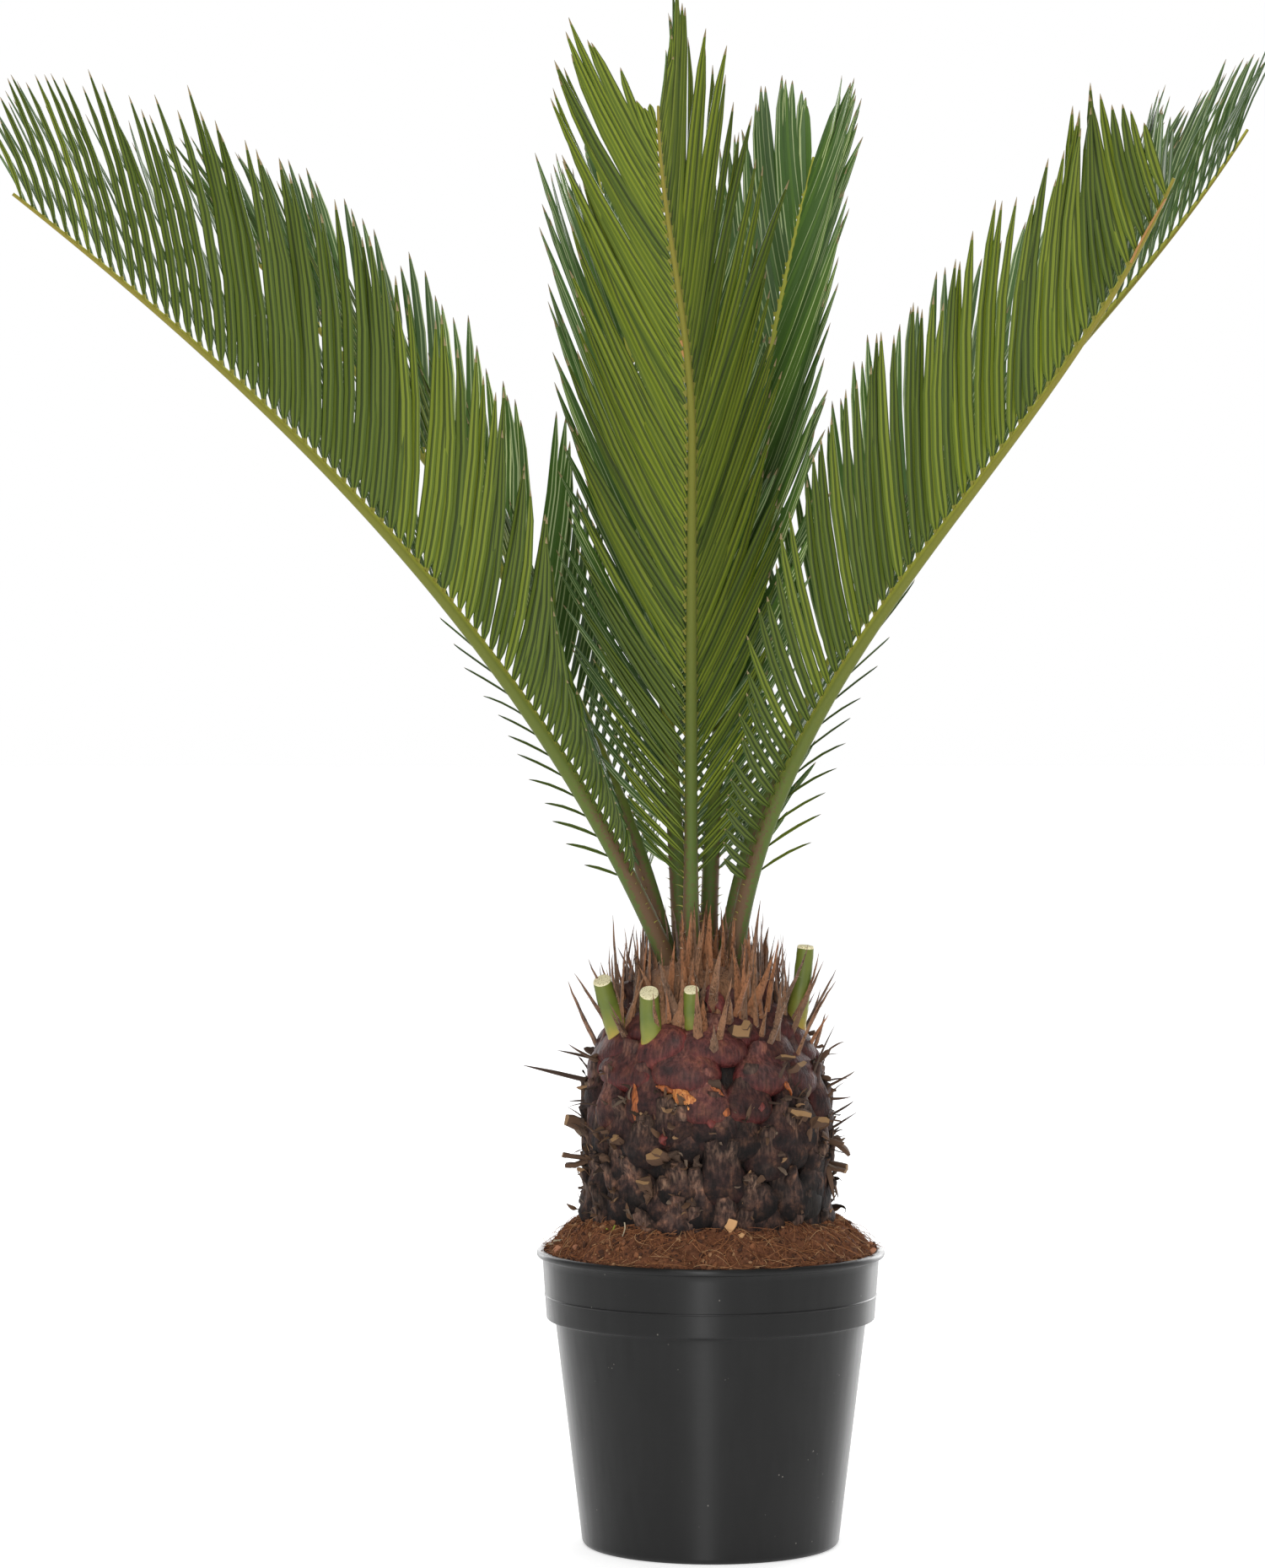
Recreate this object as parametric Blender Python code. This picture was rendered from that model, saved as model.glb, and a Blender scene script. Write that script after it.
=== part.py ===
"""Sago palm in a round nursery pot: pot, soil, caudex, crown cone, cut leaf stalks and seven fronds.

Units are metres, +Z is up, the origin is the centre of the pot's flat underside, and -Y is the front.
Each frond is three pieces, a tapered rib and a thin blade on each side of it. A blade is the surface
that its row of leaflets lies in, from the rib out to the leaflet tips.
"""

import bpy
import numpy as np
from mathutils import Vector

GAP = 0.0003  # clearance between pieces that touch

# ---- pot: thin moulded plastic, 17 cm over the rim -------------------------------------------
RIM_RADIUS = 0.0850
RIM_HEIGHT = 0.1446
LIP_DEPTH = 0.0046  # height of the rolled lip
COLLAR_TOP_RADIUS = 0.0808
COLLAR_RADIUS = 0.0794  # at the collar's lower edge
COLLAR_FOOT = 0.1112  # height of the step under the collar
WALL_TOP_RADIUS = 0.0752  # just below the step
FOOT_RADIUS = 0.0630
FOOT_ROUND = 0.0030
WALL = 0.0015
FLOOR = 0.0018
POT_SEGMENTS = 40
DRAIN_COUNT = 6
DRAIN_RADIUS = 0.0050
DRAIN_CIRCLE = 0.0400
DRAIN_TURN = 3.0  # degrees, so that no hole's corner falls on an edge of the floor

# ---- soil: fills the pot and mounds up against the caudex ------------------------------------
SOIL_RIM_HEIGHT = 0.1385
SOIL_TOP = 0.1580
SOCKET_FLOOR = 0.1500  # the caudex stands in a shallow socket
SOCKET_RADIUS = 0.0612
SOIL_UNEVEN = 0.0010

# ---- caudex (trunk): uneven barrel with a flat cut at ground level ---------------------------
TRUNK_FOOT = SOCKET_FLOOR + GAP
TRUNK_TOP = 0.2620
TRUNK_OUTLINE = (  # height, radius
    (TRUNK_FOOT, 0.0585),
    (0.1580, 0.0588),
    (0.1700, 0.0590),
    (0.1860, 0.0590),
    (0.2030, 0.0602),
    (0.2200, 0.0590),
    (0.2350, 0.0552),
    (0.2480, 0.0490),
    (0.2560, 0.0430),
    (TRUNK_TOP, 0.0375),
)
TRUNK_SEGMENTS = 28
SCALE_RELIEF = 0.0018  # how far the leaf-base scales stand out, either way
SCALE_TURNS = 14  # scales round one ring
LEAN = -0.0065  # sideways lean of the apex, along X
LEAN_FROM = 0.1500
LEAN_TO = 0.3000
LEAN_POWER = 2.5

# ---- crown: cone of felted scale leaves that the fronds rise out of --------------------------
CROWN_FOOT = TRUNK_TOP + GAP
CROWN_FOOT_RADIUS = 0.0345
CROWN_TOP = 0.3020
CROWN_TOP_RADIUS = 0.0318
CROWN_TIP_RISE = 0.0130  # every second point of the rim is the tip of a scale leaf
CROWN_CUP = 0.0060  # the middle lies this much lower than the rim
CROWN_SEGMENTS = 28

# ---- cut leaf stalks: foot, cut end, radius at the foot and at the cut -----------------------
STUBS = {
    "stub_left": ((-0.0430, -0.0215, 0.2480), (-0.0530, -0.0260, 0.2780), 0.0056, 0.0045),
    "stub_front_left": ((-0.0275, -0.0385, 0.2440), (-0.0302, -0.0440, 0.2735), 0.0056, 0.0046),
    "stub_front": ((-0.0088, -0.0400, 0.2480), (-0.0100, -0.0445, 0.2750), 0.0042, 0.0036),
    "stub_right": ((0.0395, -0.0100, 0.2500), (0.0458, -0.0110, 0.2935), 0.0052, 0.0040),
}
STUB_SIDES = 10

# ---- fronds ----------------------------------------------------------------------------------
# azimuth from +X towards +Y; foot (x, y); rib length; rise of the rib above level at its foot, half
# way and tip; sideways drift of the tip; roll about the rib; leaflet scale; change of the leaflets'
# angle to the rib; that angle at the tip. Angles are in degrees.
FRONDS = {
    "front": (-95, (-0.0070, -0.0180), 0.458, (88, 72, 50), -0.0125, 12, 0.92, -4, 16),
    "front_left": (205, (-0.0195, -0.0080), 0.514, (72, 47, 36), -0.0060, 0, 1.05, 5, 26),
    "front_right": (-28, (0.0060, -0.0130), 0.467, (83, 52, 60), -0.0040, 0, 1.00, 0, 44),
    "right": (30, (0.0060, 0.0080), 0.545, (86, 48, 52), -0.0100, 0, 1.00, -4, 24),
    "back_right": (75, (-0.0010, 0.0200), 0.470, (90, 65, 53), -0.0110, 0, 0.95, -10, 22),
    "back_left": (114, (-0.0125, 0.0140), 0.480, (84, 70, 52), -0.0220, -10, 0.95, -4, 18),
    "left": (155, (-0.0165, 0.0040), 0.486, (78, 54, 42), -0.0040, 0, 0.85, -4, 14),
}
FROND_FOOT = 0.2660  # height of every rib's foot, inside the crown
RIB_FOOT_RADIUS = 0.0048
RIB_MID_RADIUS = 0.0028
RIB_TIP_RADIUS = 0.0008
RIB_SIDES = 8
RIB_RINGS = 15

LEAFLET_LENGTH = 0.132  # the longest, near the middle of the frond
LEAFLET_PLACES = (0.12, 0.20, 0.30, 0.42, 0.60, 0.78, 0.88, 0.95, 1.00)  # along the rib, 0 to 1
LEAFLET_SHARES = (0.14, 0.36, 0.68, 0.93, 1.00, 0.95, 0.74, 0.48, 0.18)  # of the longest
ANGLE_PLACES = (0.12, 0.25, 0.40, 0.60, 0.80, 1.00)
ANGLES = (72, 54, 45, 38, 32, 14)  # leaflet to rib, degrees
TIP_ANGLE = 14
TIP_FROM = 0.75  # where a frond's own tip angle starts to take over
VEE_PLACES = (0.12, 0.20, 0.35, 0.50, 1.00)
VEES = (5, 18, 38, 46, 48)  # how far the two rows are folded up, degrees
FORWARD_BEND = 14  # degrees that a leaflet curves towards the frond's tip
STRAIGHT_AT = 0.35  # where along a leaflet it has its stated angle

BLADE_FROM = 0.17  # along the rib
BLADE_STATIONS = 18
BLADE_LINES = 3  # pieces along one leaflet
BLADE_THICK_FOOT = 0.0016
BLADE_THICK_TIP = 0.0009
WEDGE_MARGIN = 0.0016  # a blade keeps this far inside its own wedge of the crown

UP = np.array([0.0, 0.0, 1.0])


# ---- small helpers ---------------------------------------------------------------------------
def clear_scene():
    for old in list(bpy.data.objects):
        bpy.data.objects.remove(old, do_unlink=True)


def make_material(name, colour, roughness, metallic=0.0):
    material = bpy.data.materials.new(name)
    material.use_nodes = True
    shader = material.node_tree.nodes["Principled BSDF"]
    shader.inputs["Base Color"].default_value = (*colour, 1.0)
    shader.inputs["Roughness"].default_value = roughness
    shader.inputs["Metallic"].default_value = metallic
    return material


def make_object(name, points, faces, material, smooth_angle=40.0):
    """An object from a list of points and faces, shaded smooth except at its sharp edges."""
    mesh = bpy.data.meshes.new(name)
    mesh.from_pydata([tuple(map(float, point)) for point in points], [], faces)
    mesh.validate()
    mesh.shade_smooth()
    mesh.set_sharp_from_angle(angle=np.radians(smooth_angle))
    piece = bpy.data.objects.new(name, mesh)
    bpy.context.collection.objects.link(piece)
    mesh.materials.append(material)
    return piece


def lathe_faces(rings, segments):
    """Faces of rings of equal length, one above the other, then a fan to a pole at each end.

    The first pole has index rings * segments and the last one the index after it.
    """
    faces = []
    for ring in range(rings - 1):
        for i in range(segments):
            j = (i + 1) % segments
            a = ring * segments
            b = a + segments
            faces.append((a + i, a + j, b + j, b + i))
    first = rings * segments
    last = first + 1
    top = (rings - 1) * segments
    for i in range(segments):
        j = (i + 1) % segments
        faces.append((first, j, i))
        faces.append((last, top + i, top + j))
    return faces


def turned(name, outline, segments, material, height_shift=None, radius_shift=None, centre=None):
    """A turned solid. The outline runs from the lower pole, out, up and back to the upper pole.

    height_shift and radius_shift take (angle, radius, height) and give what to add; centre takes
    a height and gives the X of the axis there.
    """
    angles = np.arange(segments) * 2 * np.pi / segments
    points = []
    for radius, height in outline[1:-1]:
        for angle in angles:
            r = radius + (radius_shift(angle, radius, height) if radius_shift else 0.0)
            z = height + (height_shift(angle, radius, height) if height_shift else 0.0)
            x = centre(height) if centre else 0.0
            points.append((x + r * np.cos(angle), r * np.sin(angle), z))
    for radius, height in (outline[0], outline[-1]):
        points.append((centre(height) if centre else 0.0, 0.0, height))
    return make_object(name, points, lathe_faces(len(outline) - 2, segments), material)


def tube(name, path, radii, across, sides, material):
    """A tapered tube of regular sections along a path, with flat ends.

    across is a pair of arrays of unit vectors that span each section.
    """
    first, second = across
    angles = np.arange(sides) * 2 * np.pi / sides
    points = []
    for i, centre in enumerate(path):
        for angle in angles:
            points.append(centre + radii[i] * (np.cos(angle) * first[i] + np.sin(angle) * second[i]))
    faces = []
    for ring in range(len(path) - 1):
        for i in range(sides):
            j = (i + 1) % sides
            a = ring * sides
            b = a + sides
            faces.append((a + i, a + j, b + j, b + i))
    last = (len(path) - 1) * sides
    faces.append(tuple(reversed(range(sides))))
    faces.append(tuple(range(last, last + sides)))
    return make_object(name, points, faces, material)


def make_cutter(piece):
    piece.hide_render = True
    piece.display_type = "WIRE"
    return piece


def cut(piece, cutter):
    modifier = piece.modifiers.new("Cut", "BOOLEAN")
    modifier.operation = "DIFFERENCE"
    modifier.solver = "EXACT"
    modifier.object = cutter


# ---- pot and soil ----------------------------------------------------------------------------
def inner_wall(height):
    """Radius of the pot's inside at a height: the outer wall's slope, less its thickness."""
    slope = (WALL_TOP_RADIUS - FOOT_RADIUS) / (COLLAR_FOOT - FOOT_ROUND)
    return FOOT_RADIUS - WALL + slope * (height - FOOT_ROUND)


def make_pot(material):
    """Turned shell: flat foot, straight tapered wall, step out to the collar, rolled lip."""
    lip_foot = RIM_HEIGHT - LIP_DEPTH
    outline = (
        (0.0, 0.0),
        (FOOT_RADIUS - FOOT_ROUND, 0.0),
        (FOOT_RADIUS - 0.3 * FOOT_ROUND, 0.3 * FOOT_ROUND),
        (FOOT_RADIUS, FOOT_ROUND),
        (WALL_TOP_RADIUS, COLLAR_FOOT - 0.0006),
        (COLLAR_RADIUS, COLLAR_FOOT),
        (COLLAR_TOP_RADIUS, lip_foot),
        (RIM_RADIUS - 0.0015, lip_foot + 0.0002),
        (RIM_RADIUS, lip_foot + 0.0014),
        (RIM_RADIUS, RIM_HEIGHT - 0.0012),
        (RIM_RADIUS - 0.0012, RIM_HEIGHT),
        (COLLAR_TOP_RADIUS - WALL + 0.0010, RIM_HEIGHT),
        (COLLAR_TOP_RADIUS - WALL, RIM_HEIGHT - 0.0010),
        (COLLAR_RADIUS - WALL, COLLAR_FOOT + WALL),
        (inner_wall(COLLAR_FOOT), COLLAR_FOOT),
        (inner_wall(FLOOR + FOOT_ROUND), FLOOR + FOOT_ROUND),
        (inner_wall(FLOOR) - 0.6 * FOOT_ROUND, FLOOR),
        (0.0, FLOOR),
    )
    pot = turned("pot", outline, POT_SEGMENTS, material)
    for i in range(DRAIN_COUNT):
        angle = 2 * np.pi * (i + 0.5) / DRAIN_COUNT + np.radians(DRAIN_TURN)
        bpy.ops.mesh.primitive_cylinder_add(
            vertices=12,
            radius=DRAIN_RADIUS,
            depth=6 * FLOOR,
            location=(DRAIN_CIRCLE * np.cos(angle), DRAIN_CIRCLE * np.sin(angle), 0.0),
        )
        drill = make_cutter(bpy.context.object)
        drill.name = f"drain_cutter_{i}"
        cut(pot, drill)
    return pot


def make_soil(material):
    """Fills the pot 0.3 mm inside its wall, then mounds up to the socket round the caudex."""

    def uneven(angle, radius, height):
        on_mound = height > SOIL_RIM_HEIGHT - GAP
        swell = 0.6 * np.sin(3 * angle + 0.7) + 0.4 * np.sin(7 * angle + 2.0)
        return SOIL_UNEVEN * swell if on_mound and radius > SOCKET_RADIUS + GAP else 0.0

    rim_radius = COLLAR_TOP_RADIUS - WALL - 2 * GAP
    outline = (
        (0.0, FLOOR + GAP),
        (inner_wall(FLOOR) - 0.6 * FOOT_ROUND - GAP, FLOOR + GAP),
        (inner_wall(FLOOR + FOOT_ROUND) - GAP, FLOOR + FOOT_ROUND + GAP),
        (inner_wall(COLLAR_FOOT) - GAP, COLLAR_FOOT + 2 * GAP),
        (COLLAR_RADIUS - WALL - GAP, COLLAR_FOOT + WALL + 2 * GAP),
        (rim_radius - GAP, SOIL_RIM_HEIGHT - 2 * GAP),
        (rim_radius - 0.0030, SOIL_RIM_HEIGHT + 0.0045),
        (rim_radius - 0.0100, SOIL_TOP - 0.0060),
        (SOCKET_RADIUS + 0.0035, SOIL_TOP),
        (SOCKET_RADIUS, SOIL_TOP - 0.0020),
        (SOCKET_RADIUS, SOCKET_FLOOR),
        (0.0, SOCKET_FLOOR),
    )
    return turned("soil", outline, POT_SEGMENTS, material, height_shift=uneven)


# ---- caudex, crown and cut stalks ------------------------------------------------------------
def axis_x(height):
    """X of the caudex's axis: upright at ground level, leaning more and more towards the apex."""
    share = np.clip((height - LEAN_FROM) / (LEAN_TO - LEAN_FROM), 0.0, 1.0)
    return LEAN * share**LEAN_POWER


def make_trunk(name, material, grow=0.0):
    """The barrel, with scales in two crossing spirals. grow swells it, for a cutter."""
    lower = TRUNK_OUTLINE[0][0]
    upper = TRUNK_OUTLINE[-1][0]

    def relief(angle, radius, height):
        inside = (height - lower) * (upper - height) > 0
        wave = np.cos(SCALE_TURNS / 2 * angle + 260 * height) * np.cos(SCALE_TURNS / 2 * angle - 260 * height)
        return grow + (SCALE_RELIEF * wave if inside and height > SOIL_TOP else 0.0)

    outline = [(0.0, lower - grow)]
    outline += [(radius, height) for height, radius in TRUNK_OUTLINE]
    outline += [(0.0, upper + grow)]
    outline[1] = (outline[1][0], lower - grow)
    outline[-2] = (outline[-2][0], upper + grow)
    return turned(name, outline, TRUNK_SEGMENTS, material, radius_shift=relief, centre=axis_x)


def make_crown(material, ribs):
    """A low cone whose rim runs up and down in leaf tips, with a socket for each frond's rib."""

    def tips(angle, radius, height):
        step = int(round(angle * CROWN_SEGMENTS / (2 * np.pi)))
        on_rim = abs(height - CROWN_TOP) < GAP
        return CROWN_TIP_RISE * (0.7 + 0.3 * np.cos(5 * angle)) if on_rim and step % 2 == 0 else 0.0

    outline = (
        (0.0, CROWN_FOOT),
        (CROWN_FOOT_RADIUS, CROWN_FOOT),
        (CROWN_FOOT_RADIUS + 0.0010, CROWN_FOOT + 0.0120),
        (CROWN_TOP_RADIUS, CROWN_TOP),
        (CROWN_TOP_RADIUS - 0.0070, CROWN_TOP - 0.5 * CROWN_CUP),
        (0.0, CROWN_TOP - CROWN_CUP),
    )
    crown = turned("crown", outline, CROWN_SEGMENTS, material, height_shift=tips, centre=axis_x)
    for frond in ribs:
        cut(crown, make_cutter(make_rib(f"socket_{frond}", frond, material, grow=GAP)))
    return crown


def make_stub(name, material, trunk_cutter):
    """A cut leaf stalk: a tapered round bar, its foot shaped to the caudex that it grows from."""
    foot, end, foot_radius, end_radius = STUBS[name]
    foot = Vector(foot)
    along = (Vector(end) - foot).normalized()
    side = along.orthogonal().normalized()
    path = np.array([foot, end], dtype=float)
    across = (np.array([side] * 2), np.array([along.cross(side)] * 2))
    stub = tube(name, path, (foot_radius, end_radius), across, STUB_SIDES, material)
    cut(stub, trunk_cutter)
    return stub


# ---- fronds ----------------------------------------------------------------------------------
def rib_line(frond, places, samples=400):
    """Points and frame of a frond's rib at places from 0 (foot) to 1 (tip).

    The rib's rise is the parabola through its three stated angles. Its points are the running sum
    of that direction, in the frond's upright plane, plus a sideways drift that grows as the square.
    Returns points, tangent, the upper side's normal and the sideways direction.
    """
    azimuth, foot, length, rises, drift, roll = FRONDS[frond][:6]
    t = np.linspace(0.0, 1.0, samples)
    low, mid, high = rises
    rise = np.radians(low * (1 - t) * (1 - 2 * t) + 4 * mid * t * (1 - t) + high * t * (2 * t - 1))
    step = length / (samples - 1)
    reach = np.concatenate([[0.0], np.cumsum((np.cos(rise[1:]) + np.cos(rise[:-1])) / 2 * step)])
    height = np.concatenate([[0.0], np.cumsum((np.sin(rise[1:]) + np.sin(rise[:-1])) / 2 * step)])
    angle = np.radians(azimuth)
    outward = np.array([np.cos(angle), np.sin(angle), 0.0])
    sideways = np.array([-np.sin(angle), np.cos(angle), 0.0])
    start = np.array([foot[0], foot[1], FROND_FOOT])
    line = start + reach[:, None] * outward + height[:, None] * UP + (drift * t**2)[:, None] * sideways
    tangent = np.gradient(line, axis=0)
    tangent /= np.linalg.norm(tangent, axis=1)[:, None]
    upper = -outward + (tangent @ outward)[:, None] * tangent
    upper /= np.linalg.norm(upper, axis=1)[:, None]
    side = np.cross(tangent, upper)
    turn = np.radians(roll)
    rolled_upper = np.cos(turn) * upper + np.sin(turn) * side
    rolled_side = np.cos(turn) * side - np.sin(turn) * upper

    def at(values):
        return np.stack([np.interp(places, t, values[:, axis]) for axis in range(3)], axis=1)

    return at(line), at(tangent), at(rolled_upper), at(rolled_side)


def rib_radius(places):
    return np.interp(places, (0.0, 0.5, 1.0), (RIB_FOOT_RADIUS, RIB_MID_RADIUS, RIB_TIP_RADIUS))


def make_rib(name, frond, material, grow=0.0):
    """The frond's stalk and midrib, one tapered tube. grow swells it, for the crown's socket."""
    places = np.linspace(0.0, 1.0, RIB_RINGS)
    line, tangent, upper, side = rib_line(frond, places)
    line[0] -= grow * tangent[0]
    return tube(name, line, rib_radius(places) + grow, (upper, side), RIB_SIDES, material)


def ease(value, start, end):
    share = np.clip((value - start) / (end - start), 0.0, 1.0)
    return share * share * (3 - 2 * share)


def leaflet_rows(frond, side, places, lines):
    """The points of one row of leaflets: for each place on the rib, the points along a leaflet.

    A leaflet leaves the rib at its own angle, in the row's half of the folded frond, and curves a
    little towards the tip. Its points are the running sum of its direction.
    """
    scale, angle_change, tip_angle = FRONDS[frond][6:]
    line, tangent, upper, sideways = rib_line(frond, places)
    length = LEAFLET_LENGTH * scale * np.interp(places, LEAFLET_PLACES, LEAFLET_SHARES)
    angle = np.interp(places, ANGLE_PLACES, ANGLES) + angle_change
    angle = np.radians(angle + (tip_angle - TIP_ANGLE) * ease(places, TIP_FROM, 1.0))
    vee = np.radians(np.interp(places, VEE_PLACES, VEES))[:, None]
    out = np.sin(vee) * upper + side * np.cos(vee) * sideways
    thick = np.interp(places, (0.0, 1.0), (BLADE_THICK_FOOT, BLADE_THICK_TIP))
    start = rib_radius(places) + GAP
    point = line + start[:, None] * out
    rows = [point]
    for step in range(lines):
        middle = (step + 0.5) / lines
        turned_angle = (angle - np.radians(FORWARD_BEND) * (middle - STRAIGHT_AT))[:, None]
        direction = np.cos(turned_angle) * tangent + np.sin(turned_angle) * out
        point = point + direction * (length / lines)[:, None]
        rows.append(point)
    return np.stack(rows, axis=1), thick


def wedge_normals():
    """For each frond, the inward normals of the two upright planes that part it from its neighbours.

    Each plane holds the crown's axis and the middle of the angle between two fronds.
    """
    order = sorted(FRONDS, key=lambda name: FRONDS[name][0] % 360)
    normals = {name: [] for name in order}
    for i, name in enumerate(order):
        after = order[(i + 1) % len(order)]
        here = FRONDS[name][0] % 360
        there = FRONDS[after][0] % 360
        if there < here:
            there += 360
        middle = np.radians((here + there) / 2)
        plane = np.array([-np.sin(middle), np.cos(middle), 0.0])
        normals[name].append(-plane)
        normals[after].append(plane)
    return normals


def trim_to_wedge(rows, normals):
    """Shortens each leaflet line where it would leave the frond's own wedge of the crown."""
    axis = np.array([LEAN, 0.0, 0.0])
    trimmed = rows.copy()
    for i in range(len(rows)):
        line = rows[i]
        share = 1.0
        for normal in normals:
            inside = (line - axis) @ normal - WEDGE_MARGIN
            for k in range(1, len(line)):
                if inside[k] < 0.0:
                    crossing = (k - 1 + inside[k - 1] / (inside[k - 1] - inside[k])) / (len(line) - 1)
                    share = min(share, max(crossing, 0.05))
                    break
        at = np.linspace(0.0, share, len(line)) * (len(line) - 1)
        for axis_index in range(3):
            trimmed[i, :, axis_index] = np.interp(at, range(len(line)), line[:, axis_index])
    return trimmed


def make_blade(name, frond, side, material, normals):
    """A thin sheet through one row's leaflets: the two faces lie half its thickness either way."""
    places = np.linspace(BLADE_FROM, 1.0, BLADE_STATIONS)
    rows, thick = leaflet_rows(frond, side, places, BLADE_LINES)
    rows = trim_to_wedge(rows, normals)
    along = np.gradient(rows, axis=0)
    outward = np.gradient(rows, axis=1)
    normal = side * np.cross(along, outward)
    normal /= np.linalg.norm(normal, axis=2)[:, :, None]
    half = 0.5 * thick[:, None, None] * normal
    stations, across = rows.shape[:2]
    points = np.concatenate([(rows + half).reshape(-1, 3), (rows - half).reshape(-1, 3)])
    count = stations * across
    faces = []
    for i in range(stations - 1):
        for j in range(across - 1):
            a = i * across + j
            quad = (a, a + 1, a + across + 1, a + across)
            faces.append(quad)
            faces.append(tuple(count + k for k in reversed(quad)))
    border = [i * across for i in range(stations)]
    border += [(stations - 1) * across + j for j in range(1, across)]
    border += [i * across + across - 1 for i in range(stations - 2, -1, -1)]
    border += [j for j in range(across - 2, 0, -1)]
    for k, a in enumerate(border):
        b = border[(k + 1) % len(border)]
        faces.append((a, b, count + b, count + a))
    if side > 0:
        faces = [tuple(reversed(face)) for face in faces]
    return make_object(name, points, faces, material)


def make_fronds(rib_material, blade_material):
    normals = wedge_normals()
    for frond in FRONDS:
        make_rib(f"rib_{frond}", frond, rib_material)
        for side, label in ((1, "a"), (-1, "b")):
            make_blade(f"blade_{frond}_{label}", frond, side, blade_material, normals[frond])


def main():
    clear_scene()
    black_plastic = make_material("black moulded polypropylene", (0.020, 0.020, 0.021), 0.45)
    coir = make_material("coir potting mix", (0.090, 0.038, 0.020), 0.95)
    bark = make_material("weathered leaf bases", (0.075, 0.040, 0.032), 0.85)
    felt = make_material("felted scale leaves", (0.200, 0.095, 0.060), 0.95)
    stalk = make_material("green leaf stalk", (0.150, 0.210, 0.050), 0.55)
    leaf = make_material("leathery leaflet", (0.060, 0.110, 0.022), 0.50)

    make_pot(black_plastic)
    make_soil(coir)
    make_trunk("trunk", bark)
    make_crown(felt, FRONDS)
    trunk_cutter = make_cutter(make_trunk("trunk_cutter", bark, grow=2 * GAP))
    for stub in STUBS:
        make_stub(stub, stalk, trunk_cutter)
    make_fronds(stalk, leaf)


main()
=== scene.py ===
"""Finish of a potted sago palm: pot, potting mix, caudex, felted crown, cut stalks, ribs and leaflets.

Units are metres, +Z is up, the origin is the centre of the pot's flat underside, and -Y is the front.
Every new piece is worked out as arrays: rings of points carried along paths, joined into closed skins.
"""

import bpy
import numpy as np
from bpy.props import FloatProperty, FloatVectorProperty, IntProperty, PointerProperty
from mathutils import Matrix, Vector


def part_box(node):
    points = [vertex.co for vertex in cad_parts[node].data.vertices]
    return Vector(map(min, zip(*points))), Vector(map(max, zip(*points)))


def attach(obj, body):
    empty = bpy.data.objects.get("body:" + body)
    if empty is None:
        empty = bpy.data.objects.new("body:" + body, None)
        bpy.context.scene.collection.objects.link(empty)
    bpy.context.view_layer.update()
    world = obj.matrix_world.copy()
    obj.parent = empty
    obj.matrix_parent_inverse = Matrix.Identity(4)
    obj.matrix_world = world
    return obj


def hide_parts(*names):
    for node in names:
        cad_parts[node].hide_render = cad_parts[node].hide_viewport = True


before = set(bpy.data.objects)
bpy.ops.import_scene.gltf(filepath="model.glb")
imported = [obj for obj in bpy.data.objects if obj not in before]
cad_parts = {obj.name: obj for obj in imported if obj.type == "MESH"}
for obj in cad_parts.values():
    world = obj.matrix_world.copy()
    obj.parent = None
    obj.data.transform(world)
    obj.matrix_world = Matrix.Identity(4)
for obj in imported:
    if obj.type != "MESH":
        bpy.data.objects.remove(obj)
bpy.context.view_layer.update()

bl_info = {
    "name": "Potted sago palm",
    "version": (1, 0, 0),
    "blender": (4, 5, 0),
    "location": "3D View > Sidebar > Sago palm",
    "description": "Builds the finished surfaces of a sago palm in a nursery pot",
    "category": "Add Mesh",
}

MM = 0.001
UP = np.array([0.0, 0.0, 1.0])
IMAGE_LONG_SIDE = 1859  # pixels, the height of a 1500 x 1859 picture
SENSOR = 36.0  # mm, along the picture's long side


# ---- colours and nodes -----------------------------------------------------------------------
def linear(code):
    """An sRGB hex colour as linear red, green and blue."""
    channels = np.array([int(code[i : i + 2], 16) for i in (1, 3, 5)]) / 255
    low = channels / 12.92
    high = ((channels + 0.055) / 1.055) ** 2.4
    return tuple(float(value) for value in np.where(channels <= 0.04045, low, high))


def shaded(colour, shade):
    """A colour times a number, or times a number for each channel."""
    return tuple(float(value) for value in np.multiply(colour, shade))


def feed(node, inputs):
    """Fills a node's inputs: a value is set, a hex colour is made linear first, and a socket, or a
    node's first output in use, is linked."""
    for key, value in inputs.items():
        socket = node.inputs[key]
        if isinstance(value, bpy.types.Node):
            value = next(output for output in value.outputs if output.enabled)
        if isinstance(value, bpy.types.NodeSocket):
            node.id_data.links.new(value, socket)
        elif socket.type == "RGBA":
            socket.default_value = (*(linear(value) if isinstance(value, str) else value), 1.0)
        else:
            socket.default_value = value


def add(owner, kind, inputs=None, stops=(), **settings):
    """Adds a shader node to a material or world; stops are a colour ramp's places and colours."""
    made = owner.node_tree.nodes.new("ShaderNode" + kind)
    for key, value in settings.items():
        setattr(made, key, value)
    feed(made, inputs or {})
    for i, (place, colour) in enumerate(stops):
        elements = made.color_ramp.elements
        element = elements[i] if i < 2 else elements.new(place)
        element.position = place
        element.color = (*(linear(colour) if isinstance(colour, str) else colour), 1.0)
    return made


def span(low, high, to_low=0.0, to_high=1.0):
    """The inputs of a Map Range node that turns one range into another."""
    return {"From Min": low, "From Max": high, "To Min": to_low, "To Max": to_high}


def patterned(material, inputs):
    """Feeds a material's Principled shader and returns the material."""
    feed(material.node_tree.nodes["Principled BSDF"], inputs)
    return material


def surface(name, inputs):
    """A material of one Principled shader with the given inputs."""
    material = bpy.data.materials.new(name)
    material.use_nodes = True
    return patterned(material, inputs)


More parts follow.
